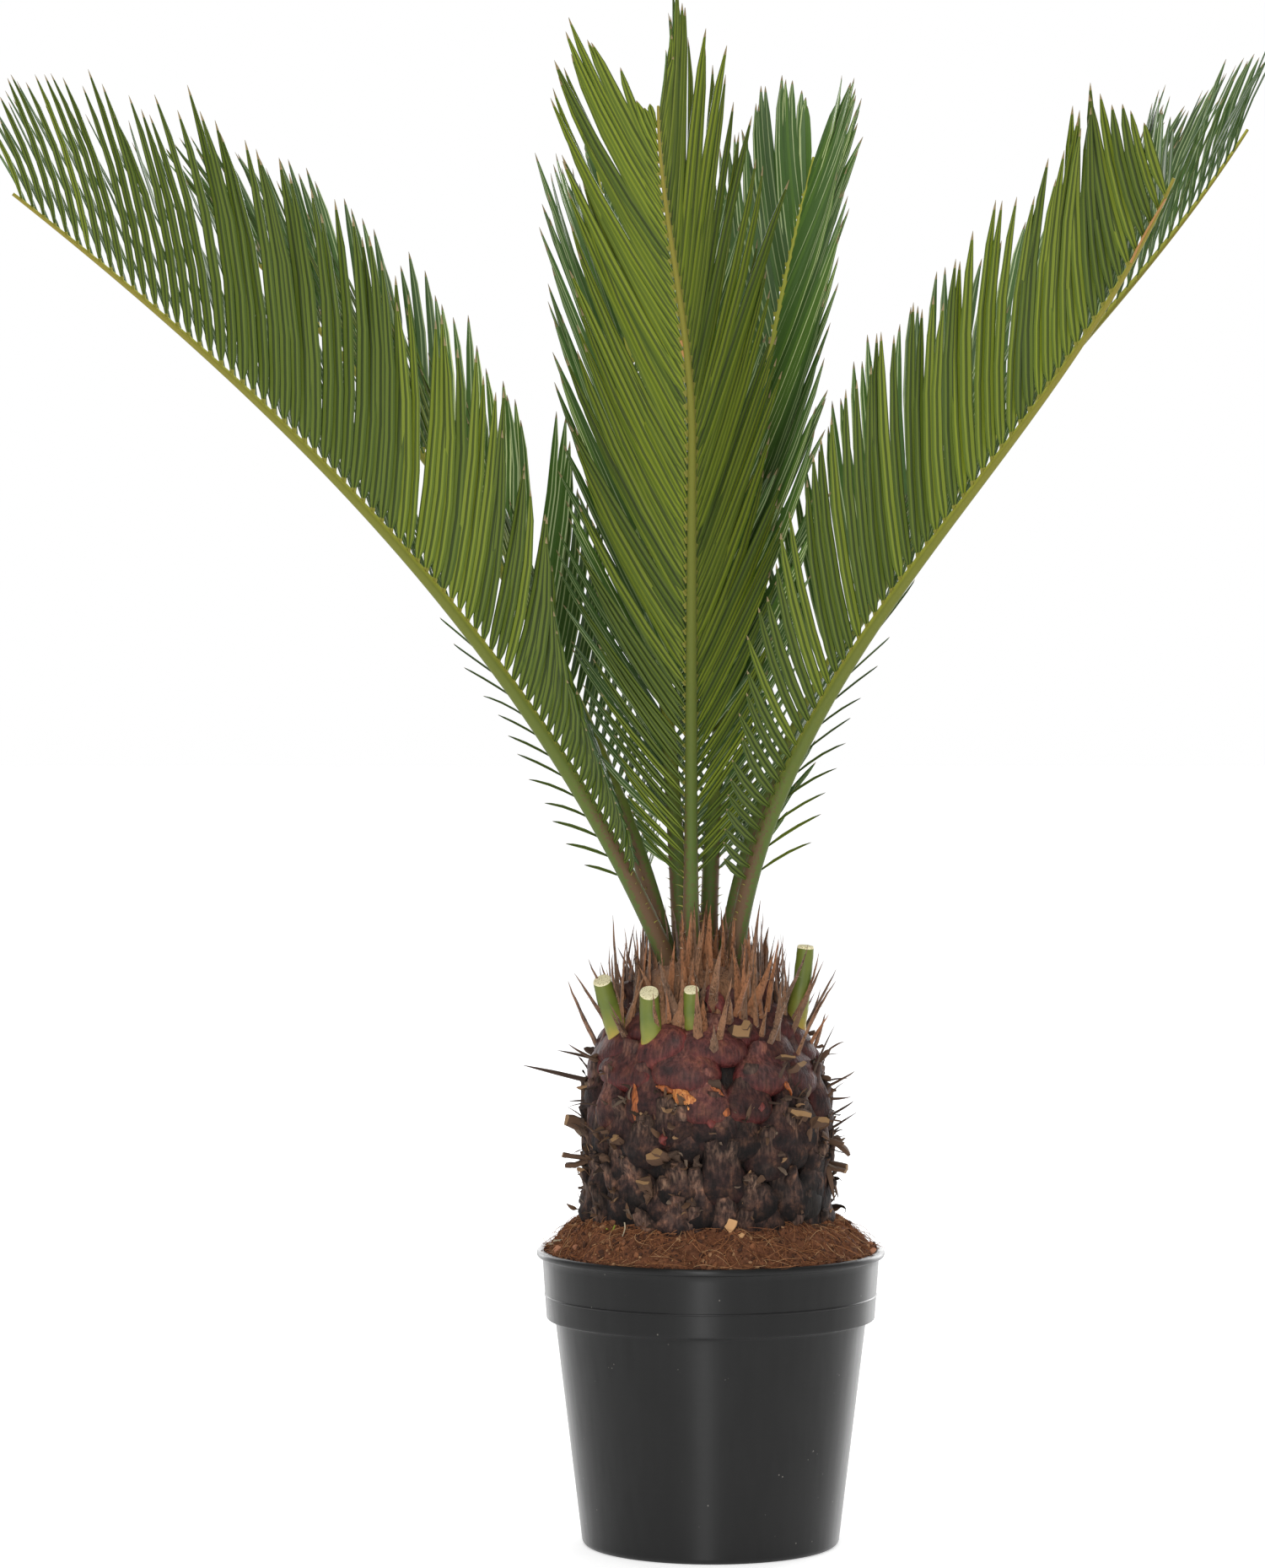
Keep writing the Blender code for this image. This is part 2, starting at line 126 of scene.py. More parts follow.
def plains(codes, roughness=0.85):
    """Plain matt colours for joined small pieces, which are dealt out by slot."""
    matt = {"Roughness": roughness, "Specular IOR Level": 0.25}
    return [surface(name, {"Base Color": code, **matt}) for name, code in codes.items()]


# ---- settings --------------------------------------------------------------------------------
def metres(name, description, default):
    """A length."""
    return FloatProperty(name=name, description=description, default=default, unit="LENGTH")


def degrees(name, description, default):
    """An angle, stated in degrees and kept in radians."""
    turn = float(np.radians(default))
    return FloatProperty(name=name, description=description, default=turn, subtype="ANGLE")


def paint(name, description, code):
    """A colour, stated as sRGB hex and kept linear."""
    kind = {"default": linear(code), "size": 3, "subtype": "COLOR"}
    return FloatVectorProperty(name=name, description=description, **kind)


def number(name, description, default, lowest=0):
    """A whole number."""
    return IntProperty(name=name, description=description, default=default, min=lowest)


# ---- noise and paths -------------------------------------------------------------------------
def lattice(x, y, z, seed):
    """A repeatable random number from -1 to 1 for each whole-numbered cell."""
    mixed = x.astype(np.uint32) * np.uint32(73856093)
    mixed ^= y.astype(np.uint32) * np.uint32(19349663)
    mixed ^= z.astype(np.uint32) * np.uint32(83492791)
    mixed ^= np.uint32((seed * 2654435761) % 2**32)
    mixed = (mixed ^ (mixed >> np.uint32(13))) * np.uint32(1274126177)
    mixed = (mixed ^ (mixed >> np.uint32(16))) * np.uint32(2246822519)
    return (mixed ^ (mixed >> np.uint32(15))).astype(np.float64) / 2**31 - 1.0


def noise(points, size, seed=0, octaves=1):
    """Smooth noise, -1 to 1: cell corners' random numbers, blended by the cubic 3s^2 - 2s^3.

    size is a cell's width, one number or one for each axis. Each octave halves it and its strength.
    """
    points = np.asarray(points, dtype=float)
    total = np.zeros(points.shape[:-1])
    for octave in range(octaves):
        scaled = points * 2**octave / np.asarray(size, dtype=float) + 100.0
        cell = np.floor(scaled).astype(np.int64)
        share = scaled - cell
        share = share * share * (3 - 2 * share)
        value = np.zeros_like(total)
        for corner in range(8):
            step = np.array([corner & 1, corner >> 1 & 1, corner >> 2 & 1])
            weight = np.prod(np.where(step, share, 1 - share), axis=-1)
            corners = cell + step
            value += weight * lattice(corners[..., 0], corners[..., 1], corners[..., 2], seed + octave)
        total += value * 0.5**octave
    return total


def unit(vectors):
    """Vectors divided by their lengths."""
    return vectors / np.maximum(np.linalg.norm(vectors, axis=-1, keepdims=True), 1e-12)


def ease(value, start, end):
    """0 before start, 1 after end and the cubic 3s^2 - 2s^3 between them."""
    share = np.clip((value - start) / (end - start), 0.0, 1.0)
    return share * share * (3 - 2 * share)


def frames(paths, hint):
    """Unit vectors across and up at each point of many paths: across is tangent x hint."""
    tangent = unit(np.gradient(paths, axis=1))
    across = unit(np.cross(tangent, hint))
    return across, np.cross(across, tangent)


def sweep(section, paths, across, up, width, height):
    """Carries a flat section along many paths at once, as rings of points.

    point = path + width * section_x * across + height * section_y * up
    """
    sideways = (width[..., None] * section[:, 0])[..., None] * across[:, :, None, :]
    upwards = (height[..., None] * section[:, 1])[..., None] * up[:, :, None, :]
    return paths[:, :, None, :] + sideways + upwards


def tilted(vector, towards, angle):
    """cos(angle) * vector + sin(angle) * towards"""
    return np.cos(angle)[..., None] * vector + np.sin(angle)[..., None] * towards


def circle(sides):
    """A regular section of radius 1."""
    angles = np.arange(sides) * 2 * np.pi / sides
    return np.stack([np.cos(angles), np.sin(angles)], axis=1)


# ---- meshes ----------------------------------------------------------------------------------
def skin(rings, slots=0, cap_slots=0, **attributes):
    """Closed skins from rings[tube, station, point]: side faces join neighbouring rings, and one
    face closes each end. The faces are turned outwards if the skins' signed volume is negative."""
    tubes, stations, around = rings.shape[:3]
    index = np.arange(tubes * stations * around).reshape(tubes, stations, around)
    near = index[:, :-1]
    far = index[:, 1:]
    sides = np.stack([near, np.roll(near, -1, 2), np.roll(far, -1, 2), far], axis=-1).reshape(-1, 4)
    caps = np.concatenate([index[:, 0, ::-1], index[:, -1]])
    points = rings.reshape(-1, 3)
    corners = points[sides]
    volume = np.einsum("ij,ij->", corners[:, 0], np.cross(corners[:, 1], corners[:, 2]))
    volume += np.einsum("ij,ij->", corners[:, 0], np.cross(corners[:, 2], corners[:, 3]))
    fans = points[caps]
    for k in range(1, around - 1):
        volume += np.einsum("ij,ij->", fans[:, 0], np.cross(fans[:, k], fans[:, k + 1]))
    if volume < 0:
        sides = sides[:, ::-1]
        caps = caps[:, ::-1]
    return {
        "points": points,
        "faces": [sides, caps],
        "slots": [
            np.broadcast_to(slots, (tubes, stations - 1, around)).reshape(-1),
            np.tile(np.broadcast_to(cap_slots, (tubes,)), 2),
        ],
        "attributes": {
            key: np.broadcast_to(value, (tubes, stations, around)).reshape(-1)
            for key, value in attributes.items()
        },
    }


def piece(name, skins, materials, replaced=(), smooth_angle=40.0):
    """One object from several skins. It rides on the plant's only body and stands for CAD nodes."""
    starts = np.cumsum([0] + [len(part["points"]) for part in skins])
    points = np.concatenate([part["points"] for part in skins])
    faces = [start + array for part, start in zip(skins, starts) for array in part["faces"]]
    sizes = np.concatenate([np.full(len(array), array.shape[1]) for array in faces])
    corners = np.concatenate([array.ravel() for array in faces])
    mesh = bpy.data.meshes.new(name)
    mesh.vertices.add(len(points))
    mesh.vertices.foreach_set("co", points.astype(np.float32).ravel())
    mesh.loops.add(len(corners))
    mesh.loops.foreach_set("vertex_index", corners.astype(np.int32))
    mesh.polygons.add(len(sizes))
    mesh.polygons.foreach_set("loop_start", (np.cumsum(sizes) - sizes).astype(np.int32))
    slots = np.concatenate([array for part in skins for array in part["slots"]])
    mesh.polygons.foreach_set("material_index", slots.astype(np.int32))
    for material in materials:
        mesh.materials.append(material)
    mesh.update(calc_edges=True)
    if mesh.validate():
        raise RuntimeError(f"{name} has faces that Blender can't keep")
    for key in sorted({key for part in skins for key in part["attributes"]}):
        values = [part["attributes"].get(key, np.zeros(len(part["points"]))) for part in skins]
        attribute = mesh.attributes.new(key, "FLOAT", "POINT")
        attribute.data.foreach_set("value", np.concatenate(values).astype(np.float32))
    mesh.shade_smooth()
    mesh.set_sharp_from_angle(angle=np.radians(smooth_angle))
    made = bpy.data.objects.new(name, mesh)
    bpy.context.scene.collection.objects.link(made)
    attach(made, "root")
    if replaced:
        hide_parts(*replaced)
    return made


def dealt(name, rings, shades, materials, smooth_angle=40.0, caps=None):
    """One object of many tubes: each takes its material by number, and its caps may take others."""
    tubes = skin(rings, shades[:, None, None], shades if caps is None else caps)
    return piece(name, [tubes], materials, (), smooth_angle)


# ---- stage -----------------------------------------------------------------------------------
class StageSettings(bpy.types.PropertyGroup):
    """Camera and floor."""

    camera_distance: metres("Camera distance", "From the pot's axis to the camera, along -Y", 2.615)
    camera_height: metres("Camera height", "Above the floor", 0.463)
    camera_side: metres("Camera side", "How far the camera stands to the right of the axis", -0.0382)
    camera_pitch: degrees("Camera pitch", "How far the camera looks down", 2.0)
    focal_pixels: FloatProperty(
        name="Focal length in pixels", description="Of a picture 1859 pixels high", default=6366.0
    )
    floor_colour: paint("Floor", "Colour of the studio floor", "#f4f4f4")


FLOOR_REACH = 12.0  # metres from the axis to each of the floor's edges
BACKDROP = (0.24, 0.971, 0.0)  # direction in which the white surroundings shine brightest
# name: place, point that it faces, width and height, watts
SOFT_BOXES = {
    "front_soft_box": ((-0.6, -2.6, 1.9), (0.0, 0.0, 0.45), (1.4, 1.4), 18.0),
    "low_soft_box": ((-0.3, -3.1, 0.55), (0.0, 0.0, 0.1), (0.7, 1.0), 21.0),
    "top_soft_box": ((0.0, -0.2, 2.7), (0.0, 0.0, 0.3), (1.6, 1.6), 12.0),
    "left_soft_box": ((-1.5, 2.4, 0.7), (0.0, 0.0, 0.2), (0.7, 1.8), 14.0),
    "right_soft_box": ((1.6, 2.2, 0.7), (0.0, 0.0, 0.2), (0.8, 1.8), 22.0),
}


def studio_world(world):
    """White all round to the eye; for lighting, brighter from behind than from the camera's side."""
    world.use_nodes = True
    world.node_tree.nodes.clear()
    where = add(world, "TexCoord").outputs["Generated"]
    behind = add(world, "VectorMath", {0: where, 1: BACKDROP}, operation="DOT_PRODUCT").outputs["Value"]
    brighter = {"Value": behind, **span(0.58, 1.0, 0.4, 2.9)}
    light = add(world, "MapRange", brighter, interpolation_type="SMOOTHSTEP")
    seen = add(world, "LightPath").outputs["Is Camera Ray"]
    strength = add(world, "Mix", {0: seen, 2: light, 3: 1.0}, data_type="FLOAT")
    white = add(world, "Background", {"Color": (1.0, 1.0, 1.0), "Strength": strength})
    add(world, "OutputWorld", {"Surface": white})


def soft_box(name, place, aim, size, power):
    """A rectangular studio light at place, facing aim."""
    lamp = bpy.data.lights.new(name, "AREA")
    lamp.shape = "RECTANGLE"
    lamp.size, lamp.size_y = size
    lamp.energy = power
    made = bpy.data.objects.new(name, lamp)
    bpy.context.scene.collection.objects.link(made)
    made.location = place
    made.rotation_euler = (Vector(aim) - Vector(place)).to_track_quat("-Z", "Y").to_euler()


class SAGO_OT_stage(bpy.types.Operator):
    """Makes the floor, the white world, the soft lights and the camera"""

    bl_idname = "sago.stage"
    bl_label = "Stage"

    def execute(self, context):
        scene = context.scene
        settings = scene.sago_stage
        scene.view_settings.view_transform = "Standard"
        scene.world = scene.world or bpy.data.worlds.new("studio")
        studio_world(scene.world)

        mesh = bpy.data.meshes.new("studio_floor")
        square = ((-1, -1), (1, -1), (1, 1), (-1, 1))
        corners = [(FLOOR_REACH * x, FLOOR_REACH * y, 0.0) for x, y in square]
        mesh.from_pydata(corners, [], [(0, 1, 2, 3)])
        floor = bpy.data.objects.new("studio_floor", mesh)
        scene.collection.objects.link(floor)
        paper = {"Base Color": settings.floor_colour, "Roughness": 0.9, "Specular IOR Level": 0.1}
        glow = {"Emission Color": (1.0, 1.0, 1.0), "Emission Strength": 0.52}
        mesh.materials.append(surface("matt white studio paper", {**paper, **glow}))
        for name, box in SOFT_BOXES.items():
            soft_box(name, *box)

        lens = bpy.data.cameras.new("camera")
        lens.sensor_width = SENSOR
        lens.lens = settings.focal_pixels / IMAGE_LONG_SIDE * SENSOR
        lens.clip_end = 50.0
        camera = bpy.data.objects.new("camera", lens)
        scene.collection.objects.link(camera)
        camera.location = (settings.camera_side, -settings.camera_distance, settings.camera_height)
        camera.rotation_euler = (np.pi / 2 - settings.camera_pitch, 0.0, 0.0)
        scene.camera = camera
        return {"FINISHED"}


# ---- pot -------------------------------------------------------------------------------------
class PotSettings(bpy.types.PropertyGroup):
    """Sizes and colour of the nursery pot."""

    rim_radius: metres("Rim radius", "Over the rolled lip", 0.085)
    rim_height: metres("Rim height", "From the floor to the top of the lip", float(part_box("pot")[1].z))
    foot_radius: metres("Foot radius", "Just above the rounded foot", 0.063)
    segments: number("Segments", "Round the pot", 192, 48)
    colour: paint("Colour", "Of the moulded plastic", "#131313")


def polypropylene(colour):
    """Black polypropylene, injection moulded and handled: a low sheen with faint rings from the
    mould that draw its highlights out upright, rubbed streaks, and dust and nicks that catch the
    light."""
    sheen = {"IOR": 1.49, "Specular IOR Level": 0.33, "Anisotropic": 0.85, "Anisotropic Rotation": 0.25}
    plastic = surface("moulded black polypropylene", sheen)
    where = add(plastic, "TexCoord").outputs["Object"]
    height = add(plastic, "SeparateXYZ", {"Vector": where}).outputs["Z"]
    upwards = {"W": height, "Scale": 420.0, "Detail": 3.0}
    rings = add(plastic, "TexNoise", upwards, noise_dimensions="1D")
    cloud = add(plastic, "TexNoise", {"Vector": where, "Scale": 38.0, "Detail": 4.0})
    upright = add(plastic, "Mapping", {"Vector": where, "Scale": (1.0, 1.0, 0.08)})
    streaks = add(plastic, "TexNoise", {"Vector": upright, "Scale": 260.0, "Detail": 2.0})
    specks = add(plastic, "TexVoronoi", {"Vector": where, "Scale": 330.0})
    dust = add(plastic, "MapRange", {"Value": specks, **span(0.16, 0.05)})
    rare = add(plastic, "TexNoise", {"Vector": where, "Scale": 130.0, "Detail": 1.0})
    seen = add(plastic, "MapRange", {"Value": rare, **span(0.66, 0.72)})
    dusty = add(plastic, "Math", {0: dust, 1: seen}, operation="MULTIPLY")
    stops = [(0.3, shaded(colour, 0.82)), (0.75, shaded(colour, 1.25))]
    shade = add(plastic, "ValToRGB", {"Fac": cloud}, stops)
    tint = add(plastic, "Mix", {0: dusty, 6: shade, 7: "#76726c"}, data_type="RGBA")
    gloss = add(plastic, "Math", {0: streaks, 1: cloud}, operation="MULTIPLY")
    rough = add(plastic, "MapRange", {"Value": gloss, **span(0.1, 0.45, 0.32, 0.44)})
    bump = add(plastic, "Bump", {"Strength": 0.1, "Distance": 0.0003, "Height": rings})
    return patterned(plastic, {"Base Color": tint, "Roughness": rough, "Normal": bump})


LIP_DEPTH = 0.0034
COLLAR_TOP_RADIUS = 0.0823
COLLAR_RADIUS = 0.0802
COLLAR_FOOT = 0.1112
WALL_TOP_RADIUS = 0.0761
FOOT_ROUND = 0.003
WALL = 0.0015
FLOOR = 0.0018
DRAIN_COUNT = 6
DRAIN_RADIUS = 0.005
DRAIN_CIRCLE = 0.04
DRAIN_TURN = 3.0  # degrees
MOULD_LINE = 0.1225  # height of the fine raised line round the collar


def inner_wall(height, foot_radius):
    """Radius of the pot's inside at a height: the outer wall's slope, less its thickness."""
    slope = (WALL_TOP_RADIUS - foot_radius) / (COLLAR_FOOT - FOOT_ROUND)
    return foot_radius - WALL + slope * (height - FOOT_ROUND)


def arc(centre, radius, start, end, count):
    """Points of a circular arc as (radius, height), from start to end in degrees from outwards."""
    angles = np.radians(np.linspace(start, end, count))
    return [(centre[0] + radius * np.cos(a), centre[1] + radius * np.sin(a)) for a in angles]


def pot_outline(settings):
    """The half section: rounded foot, sloping wall, step, collar with its fine line, rolled lip,
    then down the inside to the floor."""
    rim = settings.rim_radius
    top = settings.rim_height
    foot = settings.foot_radius
    lip_foot = top - LIP_DEPTH
    line = []
    line += [(0.02, 0.0), (foot - FOOT_ROUND - 0.012, 0.0), (foot - FOOT_ROUND - 0.004, 0.0)]
    line += arc((foot - FOOT_ROUND, FOOT_ROUND), FOOT_ROUND, -90, -8, 8)
    for height in np.linspace(FOOT_ROUND, COLLAR_FOOT - 0.0022, 18):
        share = (height - FOOT_ROUND) / (COLLAR_FOOT - FOOT_ROUND)
        line.append((foot + share * (WALL_TOP_RADIUS - foot), height))
    step = ((-0.0001, 0.0014), (0.0004, 0.0007), (0.0012, 0.0004))
    line += [(WALL_TOP_RADIUS + out, COLLAR_FOOT - below) for out, below in step]
    line += [(COLLAR_RADIUS - 0.0009, COLLAR_FOOT - 0.0004)]
    line += arc((COLLAR_RADIUS - 0.0008, COLLAR_FOOT + 0.0004), 0.0008, -80, 0, 5)

    def collar(height):
        share = (height - COLLAR_FOOT) / (lip_foot - COLLAR_FOOT)
        return COLLAR_RADIUS + share * (COLLAR_TOP_RADIUS - COLLAR_RADIUS)

    line += [(collar(h), h) for h in np.linspace(COLLAR_FOOT + 0.0012, MOULD_LINE - 0.0006, 6)]
    line += [(collar(MOULD_LINE) + 0.00035, MOULD_LINE + rise) for rise in (-0.0002, 0.0002)]
    line += [(collar(h), h) for h in np.linspace(MOULD_LINE + 0.0006, lip_foot - 0.0012, 9)]
    line += arc((COLLAR_TOP_RADIUS + 0.0011, lip_foot - 0.001), 0.0011, 180, 92, 5)
    line += [(rim - 0.0014, lip_foot + 0.0002)]
    line += arc((rim - 0.0012, lip_foot + 0.0013), 0.0012, -75, 0, 5)
    line += arc((rim - 0.0015, top - 0.0015), 0.0015, 0, 90, 7)
    line += [(COLLAR_TOP_RADIUS - WALL + 0.0016, top - 0.0001)]
    line += arc((COLLAR_TOP_RADIUS - WALL + 0.0012, top - 0.0013), 0.0012, 90, 180, 5)
    line += [(COLLAR_RADIUS - WALL, COLLAR_FOOT + WALL), (inner_wall(COLLAR_FOOT, foot), COLLAR_FOOT)]
    line += [(inner_wall(FLOOR + FOOT_ROUND, foot), FLOOR + FOOT_ROUND)]
    line += [(inner_wall(FLOOR, foot) - 0.6 * FOOT_ROUND, FLOOR), (0.02, FLOOR)]
    return np.array(line)


def turned(outline, segments):
    """Rings of a turned skin: (radius cos a, radius sin a, height) for the outline's points."""
    angles = np.arange(segments) * 2 * np.pi / segments
    radius, height = outline[:, 0, None], outline[:, 1, None]
    rings = np.stack([radius * np.cos(angles), radius * np.sin(angles), height + 0 * angles], axis=-1)
    return rings[None]


def drill(made, places, radius, depth):
    """Cuts upright round holes through a piece at its (x, y) places."""
    bars = np.array([[(x, y, -depth), (x, y, depth)] for x, y in places])
    across = np.broadcast_to([1.0, 0.0, 0.0], bars.shape)
    up = np.broadcast_to([0.0, 1.0, 0.0], bars.shape)
    size = np.full(bars.shape[:2], radius)
    bits = skin(sweep(circle(24), bars, across, up, size, size))
    mesh = bpy.data.meshes.new("drill")
    faces = [face for array in bits["faces"] for face in array.tolist()]
    mesh.from_pydata(bits["points"].tolist(), [], faces)
    cutter = bpy.data.objects.new("drill", mesh)
    bpy.context.scene.collection.objects.link(cutter)
    modifier = made.modifiers.new("Drain holes", "BOOLEAN")
    modifier.operation = "DIFFERENCE"
    modifier.solver = "EXACT"
    modifier.object = cutter
    evaluated = made.evaluated_get(bpy.context.evaluated_depsgraph_get())
    made.data = bpy.data.meshes.new_from_object(evaluated)
    made.modifiers.clear()
    bpy.data.objects.remove(cutter)


class SAGO_OT_pot(bpy.types.Operator):
    """Turns the pot's wall, collar and lip, and drills its drain holes"""

    bl_idname = "sago.pot"
    bl_label = "Pot"

    def execute(self, context):
        settings = context.scene.sago_pot
        rings = turned(pot_outline(settings), settings.segments)
        plastic = polypropylene(settings.colour)
        made = piece("nursery_pot", [skin(rings)], [plastic], ["pot"], 32.0)
        turns = 2 * np.pi * (np.arange(DRAIN_COUNT) + 0.5) / DRAIN_COUNT + np.radians(DRAIN_TURN)
        places = [(DRAIN_CIRCLE * np.cos(turn), DRAIN_CIRCLE * np.sin(turn)) for turn in turns]
        drill(made, places, DRAIN_RADIUS, 6 * FLOOR)
        return {"FINISHED"}


# ---- reeds: narrow pieces of every kind -------------------------------------------------------
def reeds(starts, ends, bows, facing, width, thick, section, wide, deep, stations):
    """Rings of many narrow pieces at once.

    path = start + s (end - start) + 4 s (1 - s) bow, for s from 0 to 1. The section's +y side faces
    facing. wide and deep are (s, share) pairs, by which width and thickness change along the path.
    """
    s = np.linspace(0.0, 1.0, stations)
    paths = starts[:, None] + s[:, None] * (ends - starts)[:, None]
    paths = paths + (4 * s * (1 - s))[:, None] * bows[:, None]
    across, up = frames(paths, facing[:, None])
    wide = np.asarray(wide)
    deep = np.asarray(deep)
    widths = 0.5 * width[:, None] * np.interp(s, wide[:, 0], wide[:, 1])
    depths = 0.5 * thick[:, None] * np.interp(s, deep[:, 0], deep[:, 1])
    return sweep(section, paths, across, up, widths, depths)


def roughened(rings, amount, size, seed):
    """Moves every point by up to amount along each axis, by noise of the given cell size."""
    shift = [noise(rings, size, seed + axis, 2) for axis in range(3)]
    return rings + amount * np.stack(shift, axis=-1)


# Sections, as shares of half the width and half the thickness
SCALE_LEAF = np.array(
    [(-1.0, 0.0), (-0.55, 0.55), (0.0, 0.95), (0.55, 0.55), (1.0, 0.0), (0.45, -0.35), (-0.45, -0.35)]
)
CHIP = np.array(
    [(-1.0, -0.75), (-1.0, 0.7), (-0.35, 1.0), (0.4, 0.9)]
    + [(1.0, 0.75), (0.95, -0.8), (0.3, -1.0), (-0.4, -0.9)]
)
# How the width or the thickness changes from a reed's start (0) to its end (1)
SPIKE_WIDE = ((0.0, 0.8), (0.2, 1.0), (0.48, 0.82), (0.72, 0.46), (0.9, 0.17), (1.0, 0.03))
SPIKE_DEEP = ((0.0, 1.0), (0.5, 0.8), (0.85, 0.35), (1.0, 0.05))
BLUNT = ((0.0, 1.0), (0.92, 1.0), (1.0, 0.9))
HAIR = ((0.0, 1.0), (0.7, 0.7), (1.0, 0.25))
CRUMB = ((0.0, 0.35), (0.3, 1.0), (0.7, 0.9), (1.0, 0.3))
RAGGED = ((0.0, 1.0), (0.6, 0.9), (0.9, 0.5), (1.0, 0.12))
ROUNDED = ((0.0, 0.3), (0.25, 0.85), (0.5, 1.0), (0.8, 0.7), (1.0, 0.2))
SHARP = ((0.0, 1.0), (0.4, 0.55), (1.0, 0.06))
# Section, width and thickness of the commonest kinds
SPIKE = (SCALE_LEAF, SPIKE_WIDE, SPIKE_DEEP)
STICK = (CHIP, BLUNT, BLUNT)
STRAND = (circle(3), HAIR, HAIR)


# ---- potting mix -----------------------------------------------------------------------------
class SoilSettings(bpy.types.PropertyGroup):
    """Grains, fibres and colour of the potting mix."""

    grains: number("Grains", "Crumbs lying on the mix", 3800)
    fibres: number("Fibres", "Coir fibres lying on the mix", 1700)
    colour: paint("Colour", "Of damp coir", "#7a4e37")


# The mound's outline: its height at distances from the axis
SOIL_RADII = (0.0, 0.0565, 0.0612, 0.069, 0.077, 0.0802, 0.0812, 0.0835)
SOIL_HEIGHTS = (0.159, 0.16, 0.159, 0.154, 0.147, 0.1434, 0.145, 0.1455)


def soil_height(x, y):
    """Height of the mound at (x, y): a profile of the distance from the axis, plus lumps."""
    radius = np.hypot(x, y)
    flat = np.stack([x, y, 0 * x], axis=-1)
    lumps = 1.9 * MM * noise(flat, 0.011, 3) + 1.5 * MM * noise(flat, 0.0042, 5, 2)
    return np.interp(radius, SOIL_RADII, SOIL_HEIGHTS) + lumps * ease(radius, 0.0812, 0.0752)


def scattered(count, low, high, rng):
    """Random places on the mound between two radii, even over its area."""
    radius = np.sqrt(rng.uniform(low**2, high**2, count))
    turn = rng.uniform(0.0, 2 * np.pi, count)
    return radius * np.cos(turn), radius * np.sin(turn)


def coir_mix(colour):
    """Damp coir potting mix: matt red-brown crumbs, with painted shade in the hollows of its bump and
    painted light on its tops.
    """
    mix = surface("damp coir mix", {"Roughness": 0.95, "Specular IOR Level": 0.2})
    where = add(mix, "TexCoord").outputs["Object"]
    grain = add(mix, "TexNoise", {"Vector": where, "Scale": 420.0, "Detail": 6.0})
    patch = add(mix, "TexNoise", {"Vector": where, "Scale": 90.0, "Detail": 3.0})
    stops = [(0.3, shaded(colour, 0.35)), (0.5, colour), (0.72, shaded(colour, 1.9))]
    # Painted shade and light: darkest where the grain, also the bump's height, is low, palest where high
    ramp = add(mix, "ValToRGB", {"Fac": grain}, stops)
    tint = add(mix, "Mix", {0: patch, 6: ramp, 7: "#4c3020"}, data_type="RGBA")
    bump = add(mix, "Bump", {"Strength": 0.8, "Distance": 0.0008, "Height": grain})
    return patterned(mix, {"Base Color": tint, "Normal": bump})


def lying(count, low, high, lengths, bow, lift, rng):
    """Starts, ends and bows of fibres that lie on the mound."""
    x, y = scattered(count, low, high, rng)
    turn = rng.uniform(0.0, 2 * np.pi, count)
    length = rng.uniform(*lengths, count)
    x_end = x + length * np.cos(turn)
    y_end = y + length * np.sin(turn)
    inside = np.minimum(1.0, (high + 0.002) / np.hypot(x_end, y_end))
    x_end, y_end = x_end * inside, y_end * inside
    starts, ends = (
        np.stack([u, v, soil_height(u, v) + rng.uniform(0.0, 1.0, count) * lift], axis=1)
        for u, v in ((x, y), (x_end, y_end))
    )
    ground = soil_height((x + x_end) / 2, (y + y_end) / 2) - (starts[:, 2] + ends[:, 2]) / 2
    sideways = rng.uniform(-bow, bow, count) * length
    bows = np.stack([-np.sin(turn) * sideways, np.cos(turn) * sideways, ground], axis=1)
    bows[:, 2] += rng.uniform(0.2, 1.2, count) * lift
    return starts, ends, bows


# Colours of the mix's small pieces
CRUMBS = {
    "dark coir crumb": "#462d21",
    "coir crumb": "#734c35",
    "red-brown coir crumb": "#855639",
    "pale coir crumb": "#a07957",
}
COIR = {
    "red-brown coir fibre": "#784b31",
    "orange-brown coir fibre": "#986642",
    "straw coir fibre": "#b28b64",
}
CHIPS = {
    "tan wood chip": "#c79a6c",
    "pink-tan bark bit": "#b57f62",
    "pale root": "#b3a58c",
    "yellow-green thread": "#8d9a3a",
}
SOIL_GAP = 0.0004  # between the mix and the pot
MOUND_SIDES = 520  # corners round the mound
# Azimuths of the fibres that hang over the lip
STRAY_TURNS = np.array(
    [-9, -5, -2, 3, 6, 12, 26, 31, 58, 66, 84, 88, 92, -48, -77, -88, 130, 171, -140, -120]
)
